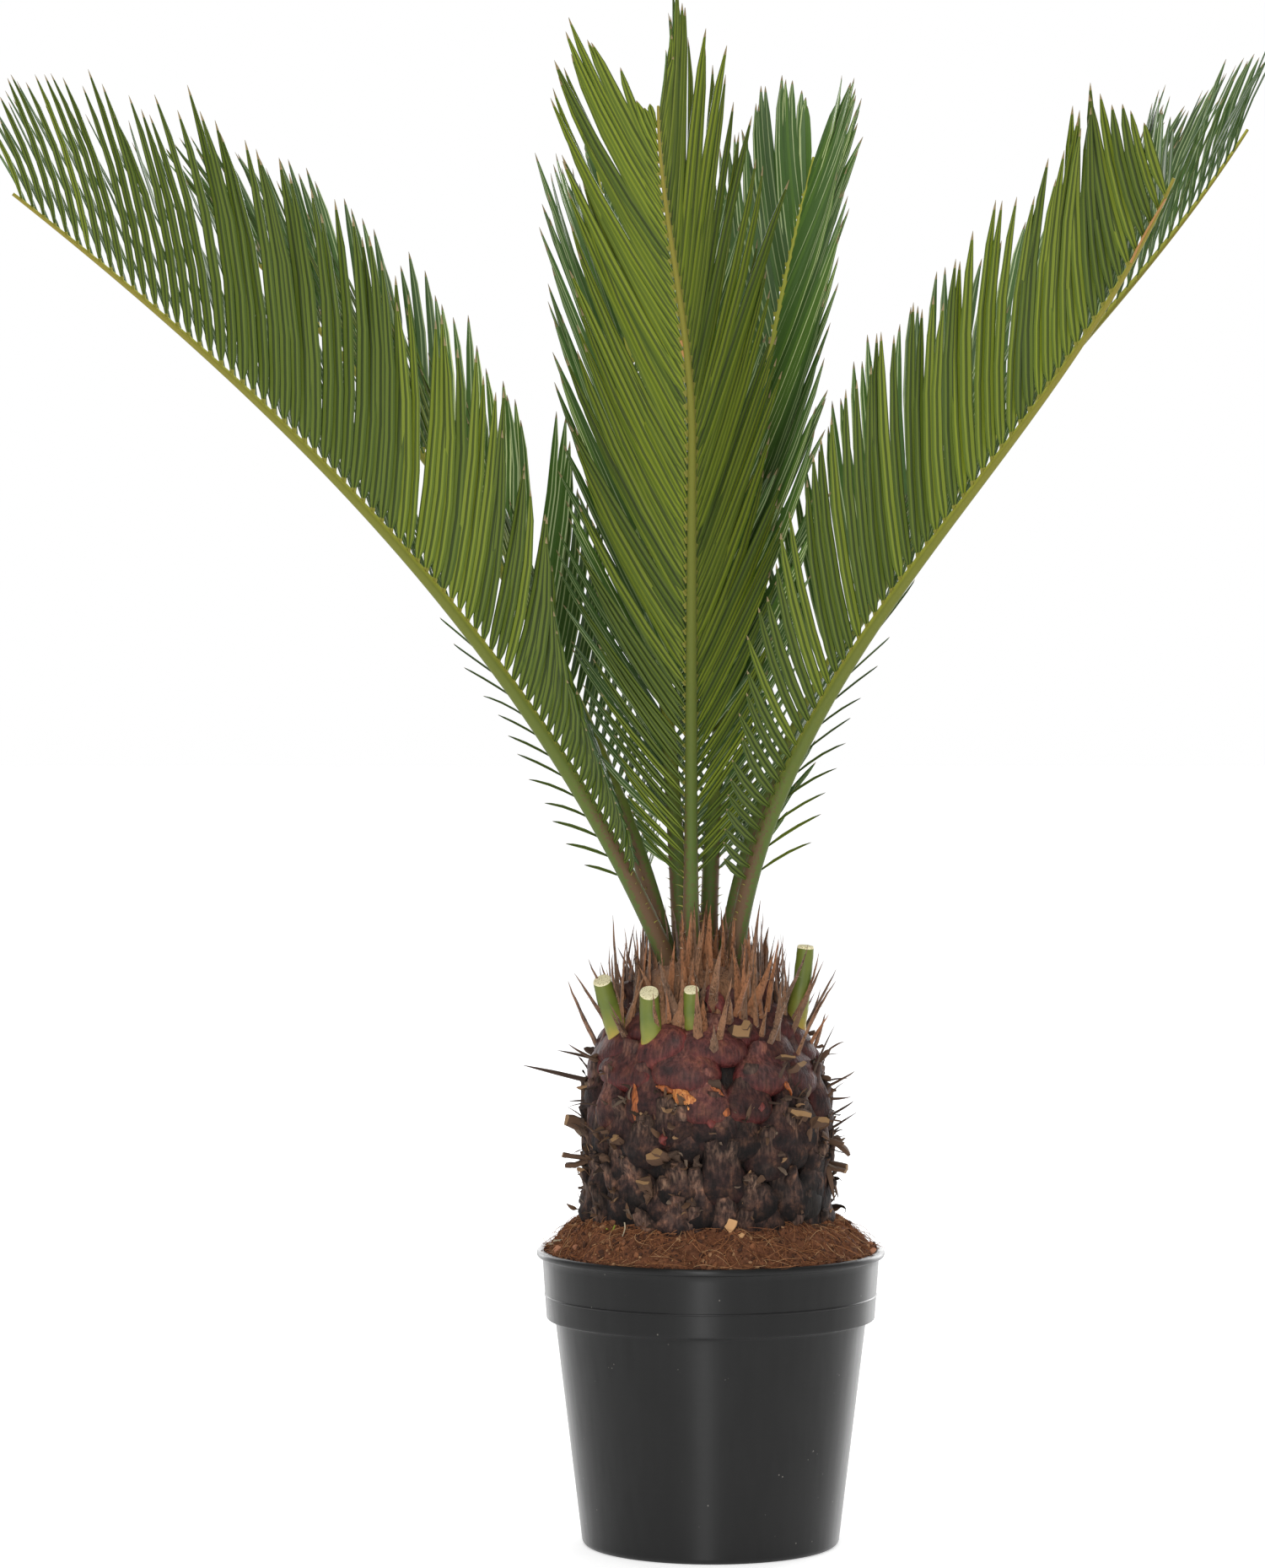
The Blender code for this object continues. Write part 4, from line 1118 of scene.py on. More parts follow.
# foot's distance from the axis and height, tip's distance and height, share of the leaves
CROWN_LAYERS = (
    (0.0475, 0.242, 0.0425, 0.286, 0.22), (0.044, 0.245, 0.0375, 0.296, 0.22),
    (0.04, 0.249, 0.035, 0.302, 0.26), (0.033, 0.255, 0.03, 0.311, 0.26),
    (0.025, 0.262, 0.023, 0.314, 0.2), (0.014, 0.268, 0.013, 0.313, 0.12),
)
# Tall spikes at the crown's sides: azimuth and height of the foot, then the tip, in millimetres.
TALL_SPIKES = (
    (-70, 250, -47.9, -16, 308.5), (-60, 247, -66.3, -28, 281.3), (40, 262, 23.7, -22, 316.3),
    (50, 255, 32.2, -25, 297.8), (60, 246, 54.2, -20, 286.7), (72, 240, 57.1, -14, 260.3),
)
STALK_GAPS = ((-38.0, 11.0), (16.0, 9.0))  # azimuths and half widths kept clear for two front stalks
CROWN_LEAN = -0.0045  # how far to the left of the pot's axis the crown stands
# Heights and radii of the crown's felted core
CORE_HEIGHTS = (0.252, 0.26, 0.27, 0.278, 0.284, 0.287)
CORE_RADII = (0.038, 0.0355, 0.0335, 0.03, 0.024, 0.012)
FELT_TINTS = {"brown felt": 1.0, "rusty felt": (1.18, 1.02, 0.9), "grey-brown felt": (0.72, 0.8, 0.92)}
GOLDEN_TURN = 0.381966  # of a full turn, from one spike to the next


class SAGO_OT_crown(bpy.types.Operator):
    """Makes the crown's felted core, its scale leaves, the spikes round it and their hairs"""

    bl_idname = "sago.crown"
    bl_label = "Crown"

    def execute(self, context):
        settings = context.scene.sago_crown
        rng = np.random.default_rng(8)
        felts = [felt(name, shaded(settings.colour, tint)) for name, tint in FELT_TINTS.items()]

        height, radius = np.array([CORE_HEIGHTS, CORE_RADII])[:, :, None, None]
        rings = heading(np.linspace(0.0, 360.0, 96, endpoint=False)) * radius + height * UP
        rings = roughened(rings + np.array([CROWN_LEAN, 0.0, 0.0]), 1.2 * MM, 0.006, 81)
        piece("crown_felt_core", [skin(rings[None])], felts[:1], ["crown"], 70.0)
        leaves = self.scale_leaves(rng, settings.scale_leaves, felts)
        spikes = self.spikes(rng, settings.spikes, felts)
        roots = np.concatenate([leaves[:, 2:12].reshape(-1, 3), spikes[:, 2:11].reshape(-1, 3)])
        self.hairs(rng, roots[rng.integers(0, len(roots), settings.hairs)])
        return {"FINISHED"}

    def scale_leaves(self, rng, total, felts):
        """Upright scale leaves in layers, parted where the two front stalks come out."""
        starts, ends, out = [], [], []
        for radius, low, tip_radius, high, share in CROWN_LAYERS:
            count = int(total * share)
            turn = 360 * (np.arange(count) + rng.uniform(0, 1, count) * 0.8) / count
            turn = turn + rng.uniform(0, 360)
            for middle, half in STALK_GAPS:
                past = (turn - middle + 180.0) % 360.0 - 180.0
                parted = middle + np.where(past < 0, -half, half) + past
                turn = np.where(np.abs(past) < half, parted, turn)
            away = heading(turn)
            begin = radius * rng.uniform(0.93, 1.04, count)[:, None] * away
            starts.append(begin + (low + rng.normal(0, 2 * MM, count))[:, None] * UP)
            tall = rng.uniform(0.62, 1.06, count)
            tip_away = heading(turn + rng.normal(0.0, 9.0, count))
            finish = (tip_radius + rng.normal(0.0, 3.2 * MM, count))[:, None] * tip_away
            ends.append(finish + (low + (high - low) * tall)[:, None] * UP)
            out.append(away)
        starts, ends, out = (np.concatenate(parts) for parts in (starts, ends, out))
        starts[:, 0] += CROWN_LEAN
        ends[:, 0] += CROWN_LEAN
        count = len(starts)
        width = MM * rng.uniform(3.6, 7.0, count)
        bows = MM * (rng.normal(-1.2, 1.0, count)[:, None] * out + rng.normal(0.0, 0.9, (count, 3)))
        rings = reeds(starts, ends, bows, out, width, 0.42 * width, *SPIKE, 14)
        rings = roughened(rings, 0.35 * MM, 0.0025, 85)
        shades = rng.choice(3, count, p=[0.5, 0.3, 0.2])
        dealt("crown_scale_leaves", rings, shades, felts, 50.0)
        return rings

    def spikes(self, rng, count, felts):
        """Dry spikes round the trunk's shoulder, then the tall ones at their own places."""
        turn = 360 * (np.arange(count) * GOLDEN_TURN % 1.0) + rng.normal(0.0, 3.0, count)
        high = rng.uniform(0.236, 0.262, count)
        away = heading(turn)
        begin = on_trunk(turn, high, 0.0005)
        rise = np.radians(rng.uniform(60.0, 88.0, count))[:, None]
        length = MM * rng.uniform(18.0, 42.0, count)[:, None]
        beside = np.cross(UP, away) * rng.normal(0.0, 0.16, count)[:, None]
        finish = begin + length * (np.cos(rise) * away + np.sin(rise) * UP + beside)
        bows = 0.04 * length * rng.standard_normal((count, 1)) * away
        bows = bows + 0.02 * length * rng.standard_normal((count, 3))
        width = MM * rng.uniform(3.4, 6.0, count)
        tall = np.array(TALL_SPIKES)
        begin = np.concatenate([begin, on_trunk(tall[:, 0], MM * tall[:, 1], 0.0005)])
        finish = np.concatenate([finish, MM * tall[:, 2:]])
        away = np.concatenate([away, heading(tall[:, 0])])
        bows = np.concatenate([bows, 0 * tall[:, 2:]])
        width = np.concatenate([width, np.full(len(tall), 0.005)])
        begin = begin - 0.006 * away - 0.003 * UP
        rings = reeds(begin, finish, bows, away, width, 0.7 * width, *SPIKE, 14)
        rings = roughened(rings, 0.25 * MM, 0.0025, 87)
        shades = rng.choice(3, len(begin), p=[0.4, 0.1, 0.5])
        dealt("shoulder_spikes", rings, shades, felts, 50.0)
        return rings

    def hairs(self, rng, roots):
        """Short felt hairs that stand out from the leaves and spikes."""
        count = len(roots)
        towards = unit(roots * (1.0, 1.0, 0.0) + 0.02 * UP + 0.03 * rng.standard_normal((count, 3)))
        ends = roots + MM * rng.uniform(0.8, 2.6, count)[:, None] * towards
        thick = MM * rng.uniform(0.1, 0.18, count)
        bows = 0.2 * MM * rng.standard_normal((count, 3))
        facing = rng.standard_normal((count, 3))
        rings = reeds(roots, ends, bows, facing, thick, thick, *STRAND, 4)
        shades = rng.choice(2, count, p=[0.6, 0.4])
        threads = plains({"brown felt hair": "#8a6a52", "pale felt hair": "#c9b8a2"}, 0.9)
        dealt("felt_hairs", rings, shades, threads, 60.0)


# ---- cut stalks ------------------------------------------------------------------------------
# name: foot, end (metres), radius at foot and end, slant of the cut face
STUBS = {
    "stub_left": ((-0.043, -0.0215, 0.248), (-0.053, -0.026, 0.278), 0.0056, 0.0045, 0.4),
    "stub_front_left": ((-0.0275, -0.0385, 0.244), (-0.0302, -0.044, 0.2735), 0.0056, 0.0046, 0.5),
    "stub_front": ((-0.0088, -0.04, 0.248), (-0.01, -0.0445, 0.275), 0.0042, 0.0036, 0.45),
    "stub_right": ((0.0395, -0.01, 0.25), (0.0458, -0.011, 0.2935), 0.0052, 0.004, 0.1),
}
STUB_STATIONS = 40
STUB_SIDES = 24


def mottled_stalk(name, finish, scale, detail, share, stops):
    """Stalk skin coloured along its length, its ramp moved about by a share of a fine mottle.
    Returns the material, the colour and the mottle."""
    stalk = surface(name, finish)
    along = add(stalk, "Attribute", attribute_name="along").outputs["Fac"]
    where = add(stalk, "TexCoord").outputs["Object"]
    mottle = add(stalk, "TexNoise", {"Vector": where, "Scale": scale, "Detail": detail})
    shifted = add(stalk, "Math", {0: mottle, 1: share, 2: along}, operation="MULTIPLY_ADD")
    return stalk, add(stalk, "ValToRGB", {"Fac": shifted}, stops), mottle


def green_stalk():
    """Fresh leaf stalk: smooth and green, orange and yellow where it leaves its base."""
    stops = [(0.1, "#b0602c"), (0.22, "#a8913c"), (0.42, "#7f8234")]
    stops += [(0.7, "#5f6c28"), (1.0, "#667028")]
    finish = {"Roughness": 0.48, "IOR": 1.42}
    stalk, colour, mottle = mottled_stalk("green stalk skin", finish, 260.0, 4.0, 0.22, stops)
    bump = add(stalk, "Bump", {"Strength": 0.25, "Distance": 0.0003, "Height": mottle})
    return patterned(stalk, {"Base Color": colour, "Normal": bump})


def stalk_pith():
    """Cut face of a fresh stalk: dry cream pith with darker fibre bundles about 0.8 mm apart."""
    pith = surface("cut stalk pith", {"Roughness": 0.9, "Specular IOR Level": 0.2})
    where = add(pith, "TexCoord").outputs["Object"]
    bundles = add(pith, "TexVoronoi", {"Vector": where, "Scale": 1150.0})
    ramp = add(pith, "ValToRGB", {"Fac": bundles}, [(0.18, "#a89a68"), (0.42, "#e8dfb8")])
    return patterned(pith, {"Base Color": ramp})


class SAGO_OT_stubs(bpy.types.Operator):
    """Makes the four cut green stalks with their cream cut faces"""

    bl_idname = "sago.stubs"
    bl_label = "Cut stalks"

    def execute(self, context):
        materials = [green_stalk(), stalk_pith()]
        along = np.linspace(0.0, 1.0, STUB_STATIONS)[None, :, None]
        near_cut = ease(along, 0.6, 0.96)
        slots = np.zeros((1, STUB_STATIONS - 1, STUB_SIDES), dtype=int)
        slots[:, -1] = 1
        for name, (foot, end, radius, end_radius, slant) in STUBS.items():
            foot = np.array([foot])
            size = np.array([2 * radius])
            narrow = end_radius / radius
            shape = ((0.0, 1.25), (0.15, 1.05), (0.5, 0.5 + 0.5 * narrow))
            shape += ((0.97, narrow), (0.985, narrow), (1.0, 0.93 * narrow))
            out = unit(foot * (1.0, 1.0, 0.0))
            line = (foot, np.array([end]), 0.001 * out, out)
            rings = reeds(*line, size, size, circle(STUB_SIDES), shape, shape, STUB_STATIONS)
            rings = roughened(rings, 0.22 * MM, 0.004, 91)
            depth = rings[..., 1] - rings[..., 1].mean(axis=2, keepdims=True)
            rings[..., 2] += slant * near_cut * depth
            part = skin(rings, slots, 1, along=along)
            piece(f"green_{name}", [part], materials, [name], 50.0)
        return {"FINISHED"}


# ---- fronds ----------------------------------------------------------------------------------
# azimuth from +X towards +Y; foot (x, y); rib length; rise of the rib above level at its foot, half
# way and tip; sideways drift of the tip; roll about the rib; leaflet scale; change of the leaflets'
# angle to the rib; that angle at the tip. Angles are in degrees.
FRONDS = {
    "front": (-90, (-0.0099, -0.018), 0.458, (92, 72, 44), -0.0166, 12, 0.99, -7, 26),
    "front_left": (205, (-0.013, -0.008), 0.516, (67, 47, 36), -0.008, 0, 1.05, 5, 26),
    "front_right": (-28, (0.0098, -0.013), 0.461, (88, 51, 64), -0.0055, 0, 1.0, 0, 44),
    "right": (30, (0.006, 0.008), 0.544, (86, 47.5, 54), -0.012, 0, 0.96, 0, 28),
    "back_right": (75, (-0.001, 0.02), 0.47, (90, 65, 53), -0.011, 0, 0.95, -10, 22),
    "back_left": (114, (-0.013, 0.014), 0.468, (84, 70, 53), -0.0205, -10, 0.96, -3, 18),
    "left": (155, (-0.0165, 0.004), 0.486, (78, 54, 42), -0.004, 0, 0.85, -4, 14),
}
FROND_FOOT = 0.266
RIB_PLACES = (0.0, 0.06, 0.5, 1.0)
RIB_RADII = (0.0048, 0.0046, 0.0028, 0.0008)
RIB_SHARES = {"front": 0.8}
LATE_DRIFT = {"front": 0.6}  # where along its rib a frond's sideways drift begins, if not at the foot

LEAFLET_PLACES = (0.12, 0.2, 0.3, 0.42, 0.6, 0.78, 0.88, 0.95, 1.0)
LEAFLET_SHARES = (0.14, 0.36, 0.68, 0.93, 1.0, 0.95, 0.74, 0.48, 0.18)
SPACING_PLACES = (0.12, 0.25, 0.4, 0.6, 0.8, 1.0)
SPACINGS = (6.2, 6.8, 7.2, 7.8, 8.0, 7.6)  # mm along the rib from one leaflet to the next
ANGLE_PLACES = (0.12, 0.25, 0.4, 0.6, 0.8, 1.0)
ANGLES = (56, 45, 41, 38, 32, 14)  # leaflet to rib, degrees
TIP_ANGLE = 14
TIP_FROM = 0.75
VEE_PLACES = (0.12, 0.2, 0.35, 0.5, 1.0)
VEES = (5, 18, 38, 46, 48)  # how far the two rows are folded up, degrees
# The far rows of the two fronds beside the front one spread outwards near the foot, short and arched.
SPREAD_ROWS = {("front_left", 1), ("front_right", -1)}
SPREAD_PLACES = (0.12, 0.3, 0.38, 0.46, 1.0)
SPREAD_VEES = (-24, -14, 0, 0, 0)
SPREAD_LENGTHS = (1.25, 0.4, 0.36, 1.0, 1.0)
SPREAD_BENDS = (-34, -36, -26, 0, 0)
SPREAD_WIDTHS = (0.38, 0.22, 0.2, 1.0, 1.0)
SPREAD_UNTIL = 0.44
# How much longer leaflets are at a frond's very tip, and the fronds whose outer leaflets stand on edge.
LONG_TIPS = {"front_left": 1.2, "right": 1.2, "left": 1.1}
EDGE_ON = ("front_left", "right", "left")
# How far apart the leaflets stand on some fronds, as a share of the spacing above.
CROWDING = {"front": 0.88, "front_left": 0.86, "front_right": 0.96, "right": 1.12}
# Rows whose leaflets stay short near the tip: to what share, and between which places they shorten.
# Then fronds whose low leaflets are narrow.
SHORT_TIPS = {
    ("front", 1): (0.3, 0.9, 0.96),
    ("front", -1): (0.8, 0.9, 0.96),
    ("back_left", 1): (0.3, 0.6, 0.88),
    ("back_left", -1): (0.3, 0.64, 0.86),
}
NARROW_LOW = {
    "front": 0.55,
    "front_right": 0.85,
    "right": 0.7,
    "left": 0.6,
    "back_left": 0.6,
    "back_right": 0.6,
}
# Leaflets near the foot: their lengths on the front fronds and on the others, and by how many degrees
# some rows' are turned away from the rib and curled back to it.
LOW_PLACES = (0.12, 0.2, 0.26, 0.33, 0.42)
LOW_LENGTHS = {
    "front": (1.45, 1.25, 1.12, 1.05, 1.0),
    "front_left": (0.95, 0.7, 0.7, 0.88, 1.0),
    "front_right": (1.2, 0.85, 0.76, 0.88, 1.0),
}
LOW_LENGTHS_BEHIND = (1.8, 1.4, 1.2, 1.1, 1.0)
LOW_TURNS = {
    ("front_left", -1): (-8.0, 44.0),
    ("front_right", 1): (15.0, 8.0),
    ("left", -1): (-6.0, 20.0),
}
# The same turns for the outer leaflets.
OUTER_TURNS = {
    ("right", 1): (16.0, 16.0),
    ("right", -1): (-10.0, 6.0),
    ("front_left", 1): (13.0, 6.0),
    ("front_left", -1): (2.0, 4.0),
}
# By how many shades some fronds' leaflets are painted darker than the others', as painted shade, or
# lighter where below 0, as painted light, and how much more evenly (below 1) or less evenly they stand.
PAINTED_FROND_SHADE = {"front_left": 0.95, "front_right": 0.6, "right": 0.35, "back_right": -0.25, "back_left": 0.5}
CALMER = {"front": 1.25, "front_left": 0.55, "front_right": 0.75}
BENDS = (8, 10, 12, 13, 14, 14)  # degrees that a leaflet curves towards the frond's tip
STRAIGHT_AT = 0.35  # where along a leaflet it has its stated angle

LEAFLET_STATIONS = np.array([0.0, 0.022, 0.065, 0.15, 0.33, 0.6, 0.84, 0.965, 1.0])
LEAFLET_WIDTHS = np.array([1.0, 1.0, 1.0, 1.0, 1.0, 0.94, 0.67, 0.22, 0.03])
LEAFLET_HEIGHTS = np.array([1.25, 0.95, 1.0, 1.0, 1.0, 1.0, 0.95, 0.6, 0.12])
FOOT_DISTANCES = (0.0, 0.003, 0.008, 0.014)  # from the rib, metres
FOOT_WIDTHS = (0.42, 0.42, 0.9, 1.0)
# Across a leaflet, from one rolled margin over the channelled top to the other, then back under the
# raised midrib: the first number is a share of the half width, the second is in millimetres.
LEAFLET_SECTION = np.array(
    [
        (-1.0, -0.45), (-0.92, 0.08), (-0.62, 0.02), (-0.1, -0.2), (0.14, -0.2), (0.92, 0.08),
        (1.0, -0.45), (0.78, -0.4), (0.24, -0.3), (0.0, -0.78), (-0.22, -0.3), (-0.6, -0.38),
    ]
)
# Slot of each face of the section, the first shade of its kind: 0 upper side, 3 underside, 6 dark
# midrib, (also painted shade on the underside's margin face), 9 pale lane painted as a glint, 12 shaded
# underside.
FACE_SLOTS = np.array([0, 9, 0, 9, 0, 0, 6, 3, 6, 6, 3, 12])
UPPER_FACES = FACE_SLOTS % 9 == 0
YELLOW_FOOT, OLIVE_FOOT, SPINE_TIP = 15, 16, 17


class FrondSettings(bpy.types.PropertyGroup):
    """Sizes and colours of the fronds."""

    leaflet_length: metres("Leaflet length", "Of the longest ones, near the middle of a frond", 0.132)
    leaflet_width: metres("Leaflet width", "At a leaflet's middle", 0.0058)
    wander: degrees("Wander", "How unevenly the leaflets spread in their row", 2.0)
    upper_colour: paint("Upper side", "Of a full-grown leaflet", "#4a6a2c")
    under_colour: paint("Underside", "Beside the midrib of a full-grown leaflet", "#6b781d")


def rib_line(frond, places, samples=600):
    """Points and frame of a frond's rib at places from 0 (foot) to 1 (tip).

    The rib's rise is the parabola through its three stated angles. Its points are the running sum
    of that direction, in the frond's upright plane, plus a sideways drift that grows as the square.
    Returns points, tangent, the upper side's normal and the sideways direction.
    """
    azimuth, foot, length, rises, drift, roll = FRONDS[frond][:6]
    t = np.linspace(0.0, 1.0, samples)
    low, mid, high = rises
    rise = np.radians(low * (1 - t) * (1 - 2 * t) + 4 * mid * t * (1 - t) + high * t * (2 * t - 1))
    step = length / (samples - 1)
    reach = np.concatenate([[0.0], np.cumsum((np.cos(rise[1:]) + np.cos(rise[:-1])) / 2 * step)])
    height = np.concatenate([[0.0], np.cumsum((np.sin(rise[1:]) + np.sin(rise[:-1])) / 2 * step)])
    angle = np.radians(azimuth)
    outward = np.array([np.cos(angle), np.sin(angle), 0.0])
    sideways = np.array([-np.sin(angle), np.cos(angle), 0.0])
    start = np.array([foot[0], foot[1], FROND_FOOT])
    drifted = drift * (ease(t, LATE_DRIFT[frond], 1.0) if frond in LATE_DRIFT else t**2)
    line = start + reach[:, None] * outward + height[:, None] * UP + drifted[:, None] * sideways
    tangent = unit(np.gradient(line, axis=0))
    upper = unit(-outward + (tangent @ outward)[:, None] * tangent)
    side = np.cross(tangent, upper)
    turn = np.radians(roll)
    rolled_upper = np.cos(turn) * upper + np.sin(turn) * side
    rolled_side = np.cos(turn) * side - np.sin(turn) * upper

    def at(values):
        return np.stack([np.interp(places, t, values[:, axis]) for axis in range(3)], axis=1)

    return at(line), at(tangent), at(rolled_upper), at(rolled_side)


def leaflet_places(frond, offset):
    """Places along the rib whose distances apart follow the spacing curve: equal steps of the
    running sum of length / spacing."""
    t = np.linspace(0.13, 0.995, 400)
    spacing = MM * CROWDING.get(frond, 1.0) * np.interp(t, SPACING_PLACES, SPACINGS)
    density = FRONDS[frond][2] / spacing
    count = np.concatenate([[0.0], np.cumsum((density[1:] + density[:-1]) / 2 * np.diff(t))])
    return np.interp(np.arange(int(count[-1])) + offset, count, t)


def drifting(count, period, rng):
    """Smooth random numbers along a row: normal draws, one each period, joined by a cubic."""
    knots = rng.standard_normal(int(count / period) + 3)
    at = np.arange(count) / period
    whole = at.astype(int)
    share = ease(at - whole, 0.0, 1.0)
    return knots[whole] * (1 - share) + knots[whole + 1] * share


def clumped(count, rng):
    """A row's clumps of two to five leaflets: a random number for each clump, and each leaflet's
    place in its clump, counted from the clump's middle."""
    sizes = rng.integers(2, 6, count)
    label = np.repeat(np.arange(count), sizes)[:count]
    place = np.arange(count) - np.searchsorted(label, label) - (sizes[label] - 1) / 2
    return rng.standard_normal(count)[label], place


def leaflet_lengths(frond, side, places, longest, rng):
    """Lengths of a row's leaflets: a curve along the rib, changed near its foot and its tip."""
    count = len(places)
    length = longest * np.interp(places, LEAFLET_PLACES, LEAFLET_SHARES)
    low_lengths = LOW_LENGTHS.get(frond, LOW_LENGTHS_BEHIND)
    length = length * np.interp(places, LOW_PLACES, low_lengths)
    length = length * (1 + (LONG_TIPS.get(frond, 1.0) - 1) * ease(places, 0.82, 1.0))
    tip_share, tip_from, tip_to = SHORT_TIPS.get((frond, side), (1.0, 0.9, 0.96))
    length = length * (1 - (1 - tip_share) * ease(places, tip_from, tip_to))
    return length * (1 + 0.025 * drifting(count, 5, rng) + 0.035 * rng.standard_normal(count))


def leaflet_slots(frond, places, on_edge, rng):
    """Slots of a row's faces: one of three shades for each leaflet, partly random tone and partly
    painted shade, and its foot and spine tip.
    """
    count = len(places)
    # Painted shade: darker on some fronds, on leaflets that stand on edge and near the foot inside the
    # plant
    tint = 1.0 - PAINTED_FROND_SHADE.get(frond, 0.0) - 0.5 * on_edge - 0.7 * ease(places, 0.5, 0.25)
    tint = tint + 0.5 * drifting(count, 4, rng) + 0.6 * rng.standard_normal(count)
    tint = np.clip(np.round(tint), 0, 2).astype(int)
    slots = np.tile(tint[:, None, None] + FACE_SLOTS, (1, len(LEAFLET_STATIONS) - 1, 1))
    slots[:, 0] = np.where(UPPER_FACES, YELLOW_FOOT, OLIVE_FOOT)
    slots[:, -1] = SPINE_TIP
    return slots


def leaflet_row(frond, side, settings, rng):
    """One row of leaflets as a skin.

    Each leaflet starts at the rib and steps along cos(angle) * rib + sin(angle) * outwards, with an
    angle that falls towards its tip. Its section lies in the row's half of the folded frond.
    """
    scale, angle_change, tip_angle = FRONDS[frond][6:]
    places = leaflet_places(frond, 0.25 if side > 0 else 0.75)
    if (frond, side) in SPREAD_ROWS:
        kept = (places > SPREAD_UNTIL) | (np.arange(len(places)) % 2 == 0)
        places = places[kept]
    count = len(places)
    clump, place_in_clump = clumped(count, rng)
    line, tangent, upper, sideways = rib_line(frond, places)
    length = leaflet_lengths(frond, side, places, settings.leaflet_length * scale, rng)
    angle = np.interp(places, ANGLE_PLACES, ANGLES) + angle_change
    angle = np.radians(angle + (tip_angle - TIP_ANGLE) * ease(places, TIP_FROM, 1.0))
    low = ease(places, 0.38, 0.2)
    low_angle, low_bend = LOW_TURNS.get((frond, side), (0.0, 0.0))
    outer = ease(places, 0.45, 0.75)
    outer_angle, outer_bend = OUTER_TURNS.get((frond, side), (0.0, 0.0))
    angle = angle + np.radians(low_angle) * low + np.radians(outer_angle) * outer
    uneven = 0.35 * clump + 0.4 * place_in_clump + 0.25 * rng.standard_normal(count)
    wander = settings.wander * CALMER.get(frond, 1.0)
    angle = angle + wander * uneven
    vee = np.radians(np.interp(places, VEE_PLACES, VEES))
    spread = np.zeros(count)
    narrow = np.ones(count)
    bend_more = np.zeros(count)
    if (frond, side) in SPREAD_ROWS:
        spread = ease(places, 0.46, 0.36)
        vee = vee * (1 - spread) + np.radians(np.interp(places, SPREAD_PLACES, SPREAD_VEES)) * spread
        length = length * np.interp(places, SPREAD_PLACES, SPREAD_LENGTHS)
        bend_more = np.interp(places, SPREAD_PLACES, SPREAD_BENDS)
        narrow = np.interp(places, SPREAD_PLACES, SPREAD_WIDTHS)
    vee = vee + wander * (0.8 * clump + 0.4 * rng.standard_normal(count))
    out = tilted(side * sideways, upper, vee)
    facing = tilted(upper, -side * sideways, vee)

    middles = (LEAFLET_STATIONS[1:] + LEAFLET_STATIONS[:-1]) / 2
    bend = np.radians(np.interp(places, ANGLE_PLACES, BENDS) + bend_more + low_bend * low)
    bend = bend + np.radians(outer_bend) * outer
    bend = bend * (1 + 0.15 * rng.standard_normal(count))
    turned_angle = angle[:, None] - bend[:, None] * (middles - STRAIGHT_AT)
    droop = np.radians(5.0) * rng.standard_normal(count)[:, None] * middles**2
    direction = tilted(tangent[:, None], out[:, None], turned_angle)
    direction = tilted(direction, facing[:, None], droop)
    steps = direction * (length[:, None] * np.diff(LEAFLET_STATIONS))[..., None]
    start = line + 0.7 * np.interp(places, RIB_PLACES, RIB_RADII)[:, None] * out
    paths = np.concatenate([np.zeros((count, 1, 3)), np.cumsum(steps, axis=1)], axis=1) + start[:, None]

    along = unit(np.gradient(paths, axis=1))
    across = unit(tangent[:, None] - np.sum(tangent[:, None] * along, axis=2)[..., None] * along)
    up = np.cross(along, across) * side
    on_edge = ease(places, 0.6, 0.85) if frond in EDGE_ON else np.zeros(count)
    tilt = np.radians(11.0 + 12.0 * on_edge + 5.0 * rng.standard_normal(count))[:, None]
    leaning = tilted(across, up, tilt)
    raised = tilted(up, -across, tilt)
    short = np.clip(0.6 + 1.2 * length / settings.leaflet_length, 0.5, 1.0)
    half = 0.5 * settings.leaflet_width * (1 + 0.05 * rng.standard_normal(count)) * short * narrow
    slender = 0.42 * ease(places, 0.66, 0.95) if frond in EDGE_ON else 0.0
    half = half * (1 - slender) * (1 - (1 - NARROW_LOW.get(frond, 1.0)) * ease(places, 0.4, 0.22))
    from_rib = length[:, None] * LEAFLET_STATIONS
    width = half[:, None] * LEAFLET_WIDTHS * np.interp(from_rib, FOOT_DISTANCES, FOOT_WIDTHS)
    height = MM * (0.55 + 0.45 * short)[:, None] * LEAFLET_HEIGHTS
    rings = sweep(LEAFLET_SECTION, paths, leaning, raised, width, height)

    return skin(rings, leaflet_slots(frond, places, on_edge, rng), YELLOW_FOOT)


